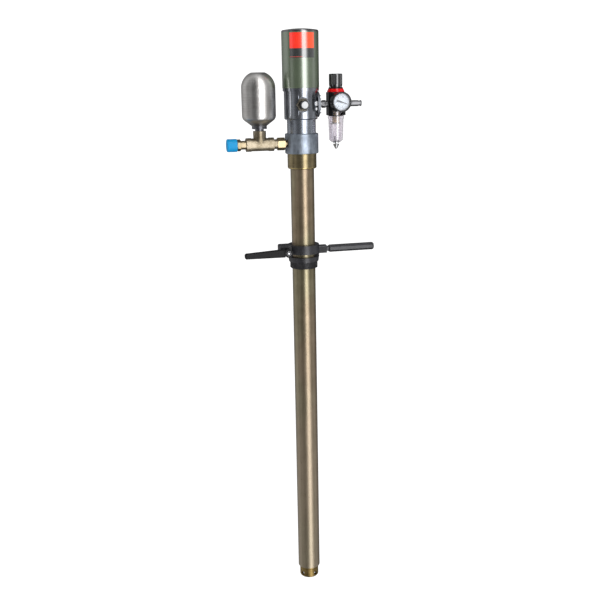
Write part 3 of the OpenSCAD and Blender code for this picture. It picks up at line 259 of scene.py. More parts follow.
def eased(node, body, slot, finish, edge_finish=None, **breaking):
    """A CAD node's copy with its edges broken, standing for the node."""
    piece = broken(copied(node), finish, edge_finish, **breaking)
    stands_for(piece, node, body)
    return piece


# The foot is screwed home a little past square, so that its holes look at the camera.
foot_turn = math.radians(-13)
for piece in (eased("foot_valve", "pump", "brass", foot_skin, foot_edge),
              eased("foot_pin", "pump", "plated_steel", steel_skin, edge=0.0003)):
    alone(piece)
    piece.rotation_euler = (0, 0, foot_turn)
    bpy.ops.object.transform_apply(location=True, rotation=True, scale=True)
dress(steel_skin, "foot_seat")
dress(ball_skin, "foot_ball")

# Piston rod: a ground steel rod with the air piston nutted on its top and the pump piston
# with its cage and ball screwed on its foot. Both pistons carry a lip seal.
rubber_skin = skin("rubber_skin", (0.020, 0.020, 0.021), (0.010, 0.010, 0.010), (0.55, 0.75),
                   1200, 0.00002)
ptfe_skin = skin("ptfe_skin", (0.80, 0.78, 0.72), (0.66, 0.64, 0.58), (0.35, 0.5),
                 600, 0.00002)
piston_skin = skin("piston_skin", (0.55, 0.56, 0.57), (0.40, 0.41, 0.42), (0.28, 0.40),
                   (40, 40, 1100), 0.00002, metal=1.0)
dress(ball_skin, "piston_rod", "piston_ball")
dress(steel_skin, "rod_nut")
dress(piston_skin, "air_piston", "pump_piston")
dress(rubber_skin, "air_piston_seal")
dress(ptfe_skin, "pump_piston_seal")

# Lock collar: turned from the same stock as the foot valve and passivated, it locks the tube.
# The outlet body over it is turned aluminium, blasted bluish grey, with the port's flat.
collar_skin = skin("collar_skin", (0.33, 0.27, 0.15), (0.22, 0.175, 0.095), (0.18, 0.30),
                   (30, 30, 1400), 0.00003, metal=0.9, dirt=(0.10, 0.08, 0.05))
body_skin = skin("body_skin", (0.44, 0.475, 0.53), (0.34, 0.37, 0.42), (0.22, 0.32),
                 (30, 30, 1300), 0.00003, metal=0.95, dirt=(0.20, 0.20, 0.21))
body_edge = skin("body_edge", (0.60, 0.62, 0.66), (0.42, 0.44, 0.48), (0.24, 0.36),
                 (30, 30, 1300), 0.00002, metal=0.95)
blasted_skin = skin("blasted_skin", (0.44, 0.50, 0.575), (0.25, 0.285, 0.335), (0.36, 0.50),
                    (150, 150, 40), 0.00003, metal=0.9, cloud=70.0, dirt=(0.20, 0.20, 0.21))
eased("lock_collar", "pump", "brass", collar_skin, foot_edge, edge=0.0008)
eased("outlet_body", "pump", "machined_aluminium", blasted_skin, body_edge, edge=0.0006)

# Guide housing: a turned aluminium ring, with the bronze bush that guides the rod and the
# lip ring that keeps the air in the cylinder.
bush_skin = skin("bush_skin", (0.58, 0.42, 0.20), (0.40, 0.28, 0.12), (0.35, 0.5),
                 900, 0.00003, metal=0.9)
eased("guide_housing", "pump", "machined_aluminium", body_skin, body_edge)
dress(bush_skin, "rod_bush")
dress(rubber_skin, "rod_seal")

# Valve body: turned aluminium with a flat for the inlet cover and a spot face for the
# silencer; the spool inside shifts the air from one side of the piston to the other.
cover_skin = skin("cover_skin", (0.20, 0.21, 0.23), (0.10, 0.105, 0.115), (0.36, 0.50),
                  500, 0.00004, metal=0.8, dirt=(0.05, 0.05, 0.05))
valve_skin = skin("valve_skin", (0.40, 0.42, 0.46), (0.29, 0.31, 0.345), (0.14, 0.24),
                  (30, 30, 1300), 0.00003, metal=0.95, dirt=(0.16, 0.16, 0.17))
valve = eased("valve_body", "pump", "dark_aluminium", valve_skin, body_edge, edge=0.0006)
# The spot face round the exhaust is painted dark and rough with the cover's finish: painted
# shade round the silencer.
spot_x, spot_z, spot_r, front_y = -0.005, 0.329, 0.0165, -0.02
valve.data.materials.append(cover_skin)
for face in valve.data.polygons:
    aside = math.hypot(face.center.x - spot_x, face.center.z - spot_z)
    painted_shade_candidate = face.material_index == 1 or face.normal.y < -0.9999
    if painted_shade_candidate and aside < spot_r and face.center.y < front_y:
        face.material_index = 2
eased("inlet_cover", "pump", "dark_aluminium", cover_skin, body_edge)
eased("cover_screws", "pump", "plated_steel", steel_skin, ball_skin, edge=0.0003)
dress(ball_skin, "pilot_spool")

# Plugs: two short steel plugs close the valve body's drillings, one on the air port's height
# and a smaller one under it, pressed in beside the cover. Their domes are painted near white:
# painted glints.
dome_painted_glint = skin("dome_painted_glint", (0.90, 0.91, 0.93), (0.76, 0.77, 0.79), (0.34, 0.42),
                 900, 0.00001, metal=0.6)
plug_turn = math.radians(50.5)
plug_seat_r, plug_len, plug_sunk = 0.03525, 0.004, 0.0015
dome_steps, step_share = 7, 0.9


def domed_plug(name, height, radius, rise):
    """A plug with a dome, pressed into the valve body's side."""
    bpy.ops.mesh.primitive_cylinder_add(vertices=40, radius=radius, depth=plug_len)
    plug = bpy.context.object
    plug.name = name
    bpy.ops.object.mode_set(mode="EDIT")
    bpy.ops.mesh.select_mode(type="FACE")
    bpy.ops.mesh.select_all(action="DESELECT")
    bpy.ops.object.mode_set(mode="OBJECT")
    for face in plug.data.polygons:
        face.select = face.normal.z > 0.9999
    bpy.ops.object.mode_set(mode="EDIT")
    for step in range(dome_steps):
        start = math.radians(90 * step / dome_steps)
        stop = math.radians(90 * (step + step_share) / dome_steps)
        share = math.cos(stop) / math.cos(start)
        bpy.ops.mesh.extrude_region()
        bpy.ops.transform.translate(value=(0, 0, rise * (math.sin(stop) - math.sin(start))))
        bpy.ops.transform.resize(value=(share, share, 1), center_override=(0, 0, 0))
    bpy.ops.object.mode_set(mode="OBJECT")
    # The domes take the near-white finish: painted glints.
    plug.data.materials.append(dome_painted_glint)
    bpy.ops.object.shade_smooth_by_angle(angle=math.radians(40))
    out = Vector((math.sin(plug_turn), -math.cos(plug_turn), 0))
    plug.rotation_mode = "QUATERNION"
    plug.rotation_quaternion = out.to_track_quat("Z", "Y")
    plug.location = out * (plug_seat_r - plug_sunk) + Vector((0, 0, height))
    bpy.ops.object.transform_apply(location=True, rotation=True, scale=True)
    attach(plug, "pump")


domed_plug("port_plug", height=0.3306, radius=0.0053, rise=0.0026)
domed_plug("pilot_plug", height=0.3200, radius=0.0032, rise=0.0018)

# Silencer: a passivated steel body, turned with a hexagon and a black barrel and screwed in
# the exhaust port. A white disc of pressed porous plastic closes it.
silencer_skin = skin("silencer_skin", (0.085, 0.080, 0.066), (0.035, 0.033, 0.028), (0.28, 0.42),
                     500, 0.00003, metal=0.8)
porous_skin = skin("porous_skin", (0.66, 0.67, 0.68), (0.44, 0.44, 0.45), (0.7, 0.85),
                   2600, 0.0001)
barrel_skin = skin("barrel_skin", (0.008, 0.008, 0.008), (0.004, 0.004, 0.004), (0.30, 0.42),
                   500, 0.00003, specular_ior_level=0.3)
silencer_edge = skin("silencer_edge", (0.30, 0.25, 0.16), (0.16, 0.13, 0.08), (0.26, 0.40),
                     500, 0.00002, metal=0.9)
silencer = eased("silencer_body", "pump", "passivated_steel", silencer_skin, silencer_edge)
silencer.data.materials.append(barrel_skin)
barrel_start_y = -0.0415
for face in silencer.data.polygons:
    if face.center.y < barrel_start_y:
        face.material_index = 2
dress(porous_skin, "silencer_core")

# Air cylinder: a deep drawn steel cup with a domed crown, screwed on the valve body's flange
# and finished in gloss sage-green enamel.
green_skin = skin("green_skin", (0.148, 0.198, 0.118), (0.122, 0.166, 0.096), (0.38, 0.46),
                  420, 0.000012, metal=0.7, cloud=12.0, coat_weight=1.0,
                  coat_ior=2.55, coat_roughness=0.17)
# The rolled edge's finish is near black: a painted reflection of dark surroundings.
rim_painted_reflection = skin("rim_painted_reflection", (0.026, 0.027, 0.026), (0.012, 0.012, 0.012), (0.25, 0.38),
                420, 0.00002, coat_weight=1.0, coat_ior=2.4, coat_roughness=0.12)


def scored(piece, height):
    """Cuts a level line round a piece, so that the faces over it can be finished apart."""
    alone(piece)
    bpy.ops.object.mode_set(mode="EDIT")
    bpy.ops.mesh.select_all(action="SELECT")
    bpy.ops.mesh.bisect(plane_co=(0, 0, height), plane_no=(0, 0, 1))
    bpy.ops.mesh.select_all(action="DESELECT")
    bpy.ops.object.mode_set(mode="OBJECT")


def finished_over(piece, height, finish):
    """Gives the faces over a height another finish."""
    piece.data.materials[1] = finish
    for face in piece.data.polygons:
        face.material_index = 1 if face.center.z > height else 0


# The crown is folded over the wall in a rolled edge, painted near black under a clear coat:
# a painted reflection of dark surroundings over the cylinder.
rolled_z = 0.4716
cylinder = copied("air_cylinder")
scored(cylinder, rolled_z)
broken(cylinder, green_skin, edge=0.0003, sharp=60)
stands_for(cylinder, "air_cylinder", "pump")
finished_over(cylinder, rolled_z, rim_painted_reflection)

# Label: a thin plastic foil glued round the front of the cylinder, printed with plain fields,
# orange over charcoal, and a thin red rule, under a clear gloss film. The orange is painted
# shifting from red towards orange to the right: painted light for the label's brighter side.
foil_r, foil_t = 0.03803, 0.00012
foil_low, foil_high = 0.4210, 0.4698
foil_left, foil_right = -45.5, 34.0
foil_z = (foil_low + foil_high) / 2
bpy.ops.mesh.primitive_cylinder_add(vertices=360, radius=foil_r, depth=foil_high - foil_low,
                                    end_fill_type="NOTHING", location=(0, 0, foil_z))
foil = bpy.context.object
foil.name = "bare_label"
bpy.ops.object.transform_apply(location=True, rotation=True, scale=True)
bpy.ops.object.mode_set(mode="EDIT")
bpy.ops.mesh.select_mode(type="FACE")
bpy.ops.mesh.select_all(action="DESELECT")
bpy.ops.object.mode_set(mode="OBJECT")
for face in foil.data.polygons:
    turn = math.degrees(math.atan2(face.center.x, -face.center.y))
    face.select = not foil_left < turn < foil_right
bpy.ops.object.mode_set(mode="EDIT")
bpy.ops.mesh.delete(type="FACE")
bpy.ops.mesh.select_all(action="SELECT")
bpy.ops.mesh.normals_make_consistent(inside=False)
bpy.ops.object.mode_set(mode="OBJECT")
sheet = foil.modifiers.new("sheet", "SOLIDIFY")
sheet.thickness, sheet.offset = foil_t, 1
bpy.ops.object.modifier_apply(modifier="sheet")
bpy.ops.object.shade_smooth_by_angle(angle=math.radians(30))
fields_meet_z, rule_low, rule_high, rule_end_x, blur = 0.43935, 0.42235, 0.42355, -0.0035, 0.0001
print_made = Finish("label_print", roughness=0.34, specular_ior_level=0.0, coat_weight=1.0,
                    coat_ior=2.5, coat_roughness=0.15)
across, up = print_made.place.part("X"), print_made.place.part("Z")
fibre = print_made.place.noise((260, 260, 120), 4.0)
rubbed = print_made.place.noise(90, 3.0).rise(0.50, 0.75) * 0.15
# Painted light: the orange shifts from red towards orange to the right, where it is lit brighter.
orange_with_painted_light = across.rise(-0.022, 0.016).blend((0.88, 0.012, 0.0), (0.84, 0.065, 0.0))
orange_with_painted_light = rubbed.blend(orange_with_painted_light, (0.75, 0.10, 0.03))
charcoal = fibre.rise(0.3, 0.7).blend((0.018, 0.020, 0.020), (0.030, 0.032, 0.031))
fields = up.rise(fields_meet_z, fields_meet_z + blur).blend(charcoal, orange_with_painted_light)
over_rule = 1 - up.rise(rule_high, rule_high + blur)
past_rule = 1 - across.rise(rule_end_x, rule_end_x + 5 * blur)
rule = up.rise(rule_low, rule_low + blur) * over_rule * past_rule
print_made.feed("Base Color", (rule * 0.85).blend(fields, (0.45, 0.05, 0.03)))
print_made.feed("Roughness", 0.26 + 0.16 * fibre)
print_made.relief(fibre, 0.000008)
foil.data.materials.append(print_made.material)
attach(foil, "pump")

# Bung adapter: a black painted casting with the 2 inch thread, the split clamp ring, its
# ears and the boss for the turning bar; the clamp lever is threaded on the bolt's end.
cast_skin = skin("cast_skin", (0.026, 0.026, 0.030), (0.010, 0.010, 0.012), (0.30, 0.46),
                 700, 0.00012, dirt=(0.040, 0.037, 0.033), coat_weight=0.1)
cast_edge = skin("cast_edge", (0.075, 0.075, 0.078), (0.026, 0.026, 0.028), (0.30, 0.48),
                 900, 0.00008, metal=0.4)


def drawn_in(scale, centre):
    """Scales the selected corners of the piece in hand, as a wall is turned down for a thread."""
    bpy.ops.object.mode_set(mode="EDIT")
    bpy.ops.transform.resize(value=scale, center_override=centre)
    bpy.ops.mesh.select_all(action="DESELECT")
    bpy.ops.object.mode_set(mode="OBJECT")


# The nose is turned down to the root of the thread that is cut on it. Corners within a hair of
# a plane count as on it.
adapter = copied("bung_adapter")
crest_r, root_r, close, hair = 0.0298, 0.02838, 0.0005, 0.00005
for corner in adapter.data.vertices:
    reach = math.hypot(corner.co.x, corner.co.y)
    corner.select = corner.co.z < hair and abs(reach - crest_r) < close
share = root_r / crest_r
drawn_in((share, share, 1), (0, 0, 0))
broken(adapter, cast_skin, cast_edge, edge=0.0006)
# The fronts of the ears and the boss are rough as cast, and darker.
flat_skin = skin("flat_skin", (0.011, 0.011, 0.013), (0.004, 0.004, 0.005), (0.36, 0.52),
                 700, 0.00014, specular_ior_level=0.3)
flats_from_x, front_on = 0.030, -0.97
adapter.data.materials.append(flat_skin)
for face in adapter.data.polygons:
    flat = face.material_index == 0 and face.normal.y < front_on
    if flat and abs(face.center.x) > flats_from_x:
        face.material_index = 2
stands_for(adapter, "bung_adapter", "adapter")
eased("turning_bar", "adapter", "black_cast", cast_skin, cast_edge, edge=0.0009, sharp=20)
lever_skin = skin("lever_skin", (0.006, 0.006, 0.0065), (0.003, 0.003, 0.003), (0.34, 0.48),
                  700, 0.00010, specular_ior_level=0.15)
lever = eased("clamp_lever", "clamp_lever", "black_cast", lever_skin, cast_skin, edge=0.0009,
              sharp=25)
# The lever's hub is painted paler round the edge of the bolt's hole: a painted highlight ring.
bolt_low, bolt_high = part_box("clamp_bolt")
bolt_axis = (bolt_low + bolt_high) / 2
hub_highlight_r = 0.0125
lever.data.materials.append(cast_edge)
for face in lever.data.polygons:
    aside = math.hypot(face.center.x - bolt_axis.x, face.center.z - bolt_axis.z)
    if face.material_index == 1 and aside < hub_highlight_r:
        face.material_index = 2
bolt_skin = skin("bolt_skin", (0.045, 0.045, 0.047), (0.020, 0.020, 0.021), (0.32, 0.44),
                 500, 0.00003, metal=0.7)
# The bolt's end has a shallow recess, and its floor is painted bright: a painted glint.
recess_w, recess_deep, square_on, near = 0.0036, 0.0008, -0.99, 0.0002
bolt = copied("clamp_bolt")
bolt_end = min(corner.co.y for corner in bolt.data.vertices)
for face in bolt.data.polygons:
    face.select = face.normal.y < square_on and face.center.y < bolt_end + near
bpy.ops.object.mode_set(mode="EDIT")
bpy.ops.mesh.select_mode(type="FACE")
bpy.ops.mesh.inset(thickness=recess_w)
bpy.ops.mesh.extrude_region()
bpy.ops.transform.translate(value=(0, recess_deep, 0))
bpy.ops.mesh.select_all(action="DESELECT")
bpy.ops.object.mode_set(mode="OBJECT")
broken(bolt, bolt_skin, steel_skin, edge=0.0003)
# Painted glint: the recess floor takes the bright polished steel finish.
bolt.data.materials.append(ball_skin)
for face in bolt.data.polygons:
    sunk_in = face.center.y - bolt_end
    if face.normal.y < square_on and abs(sunk_in - recess_deep) < near:
        face.material_index = 2
stands_for(bolt, "clamp_bolt", "adapter")
dress(rubber_skin, "tube_seal")

# Half a tooth's width at its foot and at its point, as shares of the pitch.
foot_share, point_share = 0.46, 0.09


def thread_ridge(name, root, crest, pitch, start, stop, finish):
    """A screw thread's ridge round Z: the outline of one tooth turned as it climbs by its
    pitch, and cut off square at both ends."""
    bpy.ops.mesh.primitive_plane_add(size=1, location=(0, 0, 0))
    ridge = bpy.context.object
    ridge.name = name
    foot, point = pitch * foot_share, pitch * point_share
    low = start - pitch
    tooth = ((root, low - foot), (crest, low - point), (root, low + foot), (crest, low + point))
    for corner, (out, height) in zip(ridge.data.vertices, tooth):
        corner.co = (out, 0, height)
    climb = ridge.modifiers.new("climb", "SCREW")
    climb.axis, climb.steps, climb.render_steps = "Z", 60, 60
    climb.screw_offset, climb.iterations = pitch, math.ceil((stop - start) / pitch) + 2
    bpy.ops.object.modifier_apply(modifier="climb")
    bpy.ops.object.mode_set(mode="EDIT")
    bpy.ops.mesh.select_all(action="SELECT")
    bpy.ops.mesh.remove_doubles(threshold=0.000001)
    for height, keep_above in ((start, True), (stop, False)):
        bpy.ops.mesh.select_all(action="SELECT")
        bpy.ops.mesh.bisect(plane_co=(0, 0, height), plane_no=(0, 0, 1), use_fill=True,
                            clear_inner=keep_above, clear_outer=not keep_above)
    bpy.ops.mesh.select_all(action="SELECT")
    bpy.ops.mesh.normals_make_consistent(inside=False)
    bpy.ops.object.mode_set(mode="OBJECT")
    bpy.ops.object.shade_smooth_by_angle(angle=math.radians(35))
    ridge.data.materials.append(finish)
    return ridge


# Bung thread: 2 inch pipe thread of 11 to the inch, cut on the adapter's nose and painted
# with it. Its ridge stands on the turned root and its crest is a little worn.
sunk, worn = 0.0002, 0.00005
bung_thread = thread_ridge("bung_thread", root_r - sunk, crest_r - worn, pitch=0.002309,
                           start=-0.0138, stop=-0.0004, finish=cast_edge)
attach(bung_thread, "adapter")

# Outlet branch: brass nipple, union nut, forged tee and hose nipple in line, and the blue
# push-on cap that keeps dirt out of the outlet's thread.
brass_skin = skin("brass_skin", (0.50, 0.41, 0.25), (0.34, 0.27, 0.15), (0.24, 0.36),
                  (1100, 60, 60), 0.00003, metal=0.95, dirt=(0.26, 0.18, 0.09))
cap_skin = skin("cap_skin", (0.0, 0.265, 0.545), (0.0, 0.220, 0.475), (0.28, 0.38),
                300, 0.00003, specular_ior_level=0.25)
# The broken edges of the brass fittings are painted dark brown: painted shade for the dark that
# their edges mirror. The hose nipple's thread and the gauge stem's edges take it too.
brass_edge_painted_shade = skin("brass_edge_painted_shade", (0.24, 0.185, 0.10), (0.13, 0.10, 0.05), (0.24, 0.36),
                  900, 0.00002, metal=0.95)
forged_skin = skin("forged_skin", (0.38, 0.325, 0.235), (0.19, 0.155, 0.10), (0.28, 0.42),
                   420, 0.00014, metal=0.85, dirt=(0.16, 0.12, 0.06))
# The fittings' broken edges take the painted shade.
eased("outlet_nipple", "pump", "brass", brass_skin, brass_edge_painted_shade)
eased("union_nut", "pump", "brass", brass_skin, brass_edge_painted_shade, edge=0.0005)
eased("tee", "pump", "brass", forged_skin, brass_edge_painted_shade, edge=0.0006)
dull_brass = skin("dull_brass", (0.36, 0.295, 0.19), (0.24, 0.19, 0.11), (0.26, 0.38),
                  (1100, 60, 60), 0.00003, metal=0.95, dirt=(0.20, 0.14, 0.07))
# The hose nipple is turned down past its hexagon, for half inch thread of 14 to the inch.
nipple = copied("hose_nipple")
outlet_r, outlet_root_r, outlet_z, on_wall = 0.01045, 0.00932, 0.250, 0.0003
hex_face_x = -0.137
for corner in nipple.data.vertices:
    reach = math.hypot(corner.co.y, corner.co.z - outlet_z)
    corner.select = corner.co.x < hex_face_x + hair and abs(reach - outlet_r) < on_wall
share = outlet_root_r / outlet_r
drawn_in((1, share, share), (0, 0, outlet_z))
# The nipple's broken edges and its thread ridge are painted dark: painted shade.
broken(nipple, dull_brass, brass_edge_painted_shade)
stands_for(nipple, "hose_nipple", "pump")
outlet_thread = thread_ridge("outlet_thread", outlet_root_r - sunk, outlet_r - worn,
                             pitch=0.001814, start=0.0006, stop=0.0140, finish=brass_edge_painted_shade)
outlet_thread.rotation_euler = (0, math.radians(-90), 0)
outlet_thread.location = (hex_face_x, 0, outlet_z)
alone(outlet_thread)
bpy.ops.object.transform_apply(location=True, rotation=True, scale=True)
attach(outlet_thread, "pump")
eased("thread_cap", "thread_cap", "blue_plastic", cap_skin, edge=0.0008)

# Surge bottle: two pressed stainless steel cups welded together and brushed round, on a dark
# steel neck that screws in the tee. It evens out the strokes of the pump.
bottle_skin = skin("bottle_skin", (0.80, 0.79, 0.76), (0.64, 0.62, 0.59), (0.34, 0.43),
                   (25, 25, 900), 0.00003, metal=1.0, dirt=(0.44, 0.42, 0.38))
neck_skin = skin("neck_skin", (0.20, 0.20, 0.21), (0.09, 0.09, 0.10), (0.25, 0.4),
                 (60, 60, 900), 0.00003, metal=0.9)
eased("surge_bottle", "pump", "bottle_steel", bottle_skin, edge=0.0006, sharp=50)
eased("bottle_neck", "pump", "bottle_steel", neck_skin, body_edge)

# Filter regulator: a black moulded body on the inlet nipple, with the diaphragm, spring,
# plate and screw under its bonnet, the red lock ring and the ribbed knob.
moulded_skin = skin("moulded_skin", (0.004, 0.004, 0.0045), (0.002, 0.002, 0.0024), (0.24, 0.34),
                    1500, 0.00004, specular_ior_level=0.35)
red_skin = skin("red_skin", (0.74, 0.001, 0.003), (0.62, 0.0, 0.002), (0.20, 0.30),
                900, 0.00002, specular_ior_level=0.2, coat_weight=0.5,
                coat_roughness=0.08)
moulded_edge = skin("moulded_edge", (0.016, 0.016, 0.018), (0.009, 0.009, 0.010), (0.20, 0.30),
                    1500, 0.00003, specular_ior_level=0.6)
zinc_skin = skin("zinc_skin", (0.25, 0.25, 0.255), (0.12, 0.12, 0.125), (0.26, 0.40),
                 (900, 60, 60), 0.00003, metal=0.9, dirt=(0.12, 0.115, 0.11))
knob_skin = skin("knob_skin", (0.003, 0.003, 0.0035), (0.0015, 0.0015, 0.002), (0.30, 0.40),
                 1500, 0.00002, specular_ior_level=0.2, coat_weight=1.0,
                 coat_ior=2.1, coat_roughness=0.09)
spring_skin = skin("spring_skin", (0.50, 0.50, 0.49), (0.36, 0.36, 0.355), (0.22, 0.34),
                   1800, 0.00001, metal=1.0)
regulator_x = 0.0745
wire_corners, turn_steps, closed_pitch = 10, 16, 1.03


def wound(node, axis_x, wire, open_turns):
    """A spring wound from round wire, with a closed turn at each end."""
    low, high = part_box(node)
    wire_r = wire / 2
    coil_r = (high.x - low.x) / 2 - wire_r
    closed_rise = wire * closed_pitch
    open_rise = (high.z - low.z - wire - 2 * closed_rise) / open_turns
    bpy.ops.object.select_all(action="DESELECT")
    bpy.ops.mesh.primitive_circle_add(vertices=wire_corners, radius=wire_r, fill_type="NGON",
                                      rotation=(math.radians(90), 0, 0),
                                      location=(axis_x + coil_r, 0, low.z + wire_r))
    coil = bpy.context.object
    coil.name = node + "_coil"
    bpy.ops.object.transform_apply(location=True, rotation=True, scale=True)
    bpy.ops.object.mode_set(mode="EDIT")
    bpy.ops.mesh.select_all(action="SELECT")
    for rise in (closed_rise,) + (open_rise,) * open_turns + (closed_rise,):
        for step in range(turn_steps):
            bpy.ops.mesh.extrude_region()
            bpy.ops.transform.rotate(value=math.radians(360 / turn_steps), orient_axis="Z",
                                     center_override=(axis_x, 0, 0))
            bpy.ops.transform.translate(value=(0, 0, rise / turn_steps))
    bpy.ops.mesh.select_all(action="SELECT")
    bpy.ops.mesh.normals_make_consistent(inside=False)
    bpy.ops.mesh.select_all(action="DESELECT")
    bpy.ops.object.mode_set(mode="OBJECT")
    bpy.ops.object.shade_smooth_by_angle(angle=math.radians(50))
    coil.data.materials.append(spring_skin)
    stands_for(coil, node, "pump")
    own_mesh(coil)


dress(steel_skin, "adjusting_screw")
wound("range_spring", regulator_x, wire=0.0015,
      open_turns=4)
eased("inlet_nipple", "pump", "plated_steel", zinc_skin, neck_skin)
eased("air_plug", "pump", "plated_steel", zinc_skin, neck_skin)
# The body is cut open in front, so that the neck of the bowl shows.
regulator = copied("regulator_body")
window_w, window_low, window_high = 0.0212, 0.3046, 0.3130
window_y, window_deep = -0.018, 0.024
bpy.ops.mesh.primitive_cube_add(
    size=1, location=(regulator_x, window_y, (window_low + window_high) / 2))
cutter = bpy.context.object
cutter.scale = (window_w, window_deep, window_high - window_low)
bpy.ops.object.transform_apply(location=True, rotation=True, scale=True)
alone(regulator)
window = regulator.modifiers.new("window", "BOOLEAN")
window.operation, window.solver, window.object = "DIFFERENCE", "EXACT", cutter
bpy.ops.object.modifier_apply(modifier="window")
bpy.data.objects.remove(cutter)
broken(regulator, moulded_skin, moulded_edge, edge=0.0006)
stands_for(regulator, "regulator_body", "pump")
eased("bonnet", "pump", "black_plastic", knob_skin, moulded_edge, edge=0.0006)
eased("regulator_knob", "regulator_knob", "black_plastic", knob_skin, moulded_edge)
# A black washer lies on the red ring.
lock_ring = copied("lock_ring")
washer_z = 0.3593
scored(lock_ring, washer_z)
broken(lock_ring, red_skin, edge=0.0006)
stands_for(lock_ring, "lock_ring", "pump")
finished_over(lock_ring, washer_z, moulded_skin)
dress(rubber_skin, "diaphragm")
dress(bush_skin, "spring_plate")

# Pressure gauge: a black enamelled steel case on a brass stem, with its dial, needle and
# clear front.
enamel_skin = skin("enamel_skin", (0.005, 0.005, 0.006), (0.003, 0.003, 0.0035), (0.16, 0.26),
                   500, 0.00002, specular_ior_level=0.25)
dial_skin = skin("dial_skin", (0.70, 0.75, 0.82), (0.63, 0.68, 0.75), (0.35, 0.45),
                 400, 0.00001)
needle_skin = skin("needle_skin", (0.050, 0.060, 0.075), (0.030, 0.036, 0.046), (0.3, 0.4),
                   900, 0.00001)
lens_skin = skin("lens_skin", (0.90, 0.93, 0.96), (0.82, 0.86, 0.90), (0.04, 0.08),
                 200, 0.000002, alpha=0.07)
eased("gauge_case", "pump", "black_metal", enamel_skin)
# The stem's broken edges are painted dark: painted shade.
eased("gauge_stem", "pump", "brass", brass_skin, brass_edge_painted_shade)
dress(dial_skin, "gauge_dial")
# The bezel is a ring rolled over the front of the case, which holds the lens.
gauge_x, gauge_z = regulator_x, 0.333
bezel_r, bezel_in_r, bezel_y, bezel_w = 0.01748, 0.0164, -0.0466, 0.0044
bpy.ops.mesh.primitive_circle_add(vertices=96, radius=bezel_r, rotation=(math.radians(90), 0, 0),
                                  location=(gauge_x, bezel_y, gauge_z))
bezel = bpy.context.object
bezel.name = "gauge_bezel"
bpy.ops.object.transform_apply(location=True, rotation=True, scale=True)
bpy.ops.object.mode_set(mode="EDIT")
bpy.ops.mesh.select_mode(type="EDGE")
bpy.ops.mesh.select_all(action="SELECT")
section = ((bezel_in_r / bezel_r, 0), (1, bezel_w), (bezel_r / bezel_in_r, 0), (1, -bezel_w))
for share, depth in section:
    bpy.ops.mesh.extrude_region()
    bpy.ops.transform.resize(value=(share, 1, share), center_override=(gauge_x, 0, gauge_z))
    bpy.ops.transform.translate(value=(0, depth, 0))
bpy.ops.mesh.select_all(action="SELECT")
bpy.ops.mesh.remove_doubles(threshold=0.000005)
bpy.ops.mesh.normals_make_consistent(inside=False)
bpy.ops.object.mode_set(mode="OBJECT")
bpy.ops.object.shade_smooth_by_angle(angle=math.radians(40))
bezel.data.materials.append(enamel_skin)
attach(bezel, "pump")
# The needle is turned level, made broader, and turned back to where it rests.
needle = copied("gauge_needle")
zero_turn, sweep, broader = -18.0, 270.0, 1.7
bpy.ops.object.mode_set(mode="EDIT")
bpy.ops.mesh.select_all(action="SELECT")
for turn, wider in ((-zero_turn, 1.0), (0, broader), (zero_turn, 1.0)):
    bpy.ops.transform.rotate(value=math.radians(turn), orient_axis="Y",
                             center_override=(gauge_x, 0, gauge_z))
    bpy.ops.transform.resize(value=(1, 1, wider), center_override=(gauge_x, 0, gauge_z))
bpy.ops.mesh.select_all(action="DESELECT")
bpy.ops.object.mode_set(mode="OBJECT")
broken(needle, needle_skin, edge=0.00005)
stands_for(needle, "gauge_needle", "gauge_needle")
dress(lens_skin, "gauge_lens")

# The scale: strokes and plain numbers from 0 to 10, printed on the dial over the needle's
# 270 degrees, which start where the needle stands at rest.
ink_skin = skin("ink_skin", (0.030, 0.036, 0.048), (0.018, 0.022, 0.030), (0.4, 0.55),
                900, 0.000005)
dial_y, ink_t = -0.0418, 0.00012
stroke_end, long_from, short_from, long_w, short_w = 0.0152, 0.0126, 0.0138, 0.00045, 0.00022
strokes, long_every, top_number = 50, 5, 10
figure_reach, figure_h = 0.0104, 0.0042


def on_dial(piece, share, reach, upright):
    """Puts a printed piece on the dial, at a share of the scale and so far from its middle."""
    turn = math.radians(zero_turn - sweep * share)
    lean = 0 if upright else turn
    alone(piece)
    piece.rotation_euler = (math.radians(90), -lean, 0)
    piece.location = (gauge_x + reach * math.cos(turn), dial_y - ink_t / 2,
                      gauge_z + reach * math.sin(turn))
    bpy.ops.object.transform_apply(location=True, rotation=True, scale=True)
    piece.data.materials.clear()
    piece.data.materials.append(ink_skin)
    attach(piece, "pump")


def stroke(name, share, inner, outer, width):
    """One printed stroke of the scale, with its corners rounded by the ink."""
    bpy.ops.mesh.primitive_cube_add(size=1)
    piece = bpy.context.object
    piece.name = name
    piece.scale = (outer - inner, width, ink_t)
    bpy.ops.object.transform_apply(location=True, rotation=True, scale=True)
    bpy.ops.object.mode_set(mode="EDIT")
    bpy.ops.mesh.select_all(action="SELECT")
    bpy.ops.mesh.bevel(offset=ink_t * 0.3, segments=1, affect="EDGES")
    bpy.ops.object.mode_set(mode="OBJECT")
    on_dial(piece, share, (inner + outer) / 2, False)


for count in range(strokes + 1):
    large = count % long_every == 0
    stroke(f"scale_stroke_{count:02d}", count / strokes, long_from if large else short_from,
           stroke_end, long_w if large else short_w)
for number in range(0, top_number + 1, 2):
    bpy.ops.object.text_add(location=(0, 0, 0))
    figure = bpy.context.object
    figure.name = f"scale_number_{number:02d}"
    figure.data.body = str(number)
    figure.data.size = figure_h
    figure.data.extrude = ink_t / 2
    figure.data.align_x, figure.data.align_y = "CENTER", "CENTER"
    figure.data.resolution_u = 3
    alone(figure)
    bpy.ops.object.convert(target="MESH")
    on_dial(bpy.context.object, number / top_number, figure_reach, True)

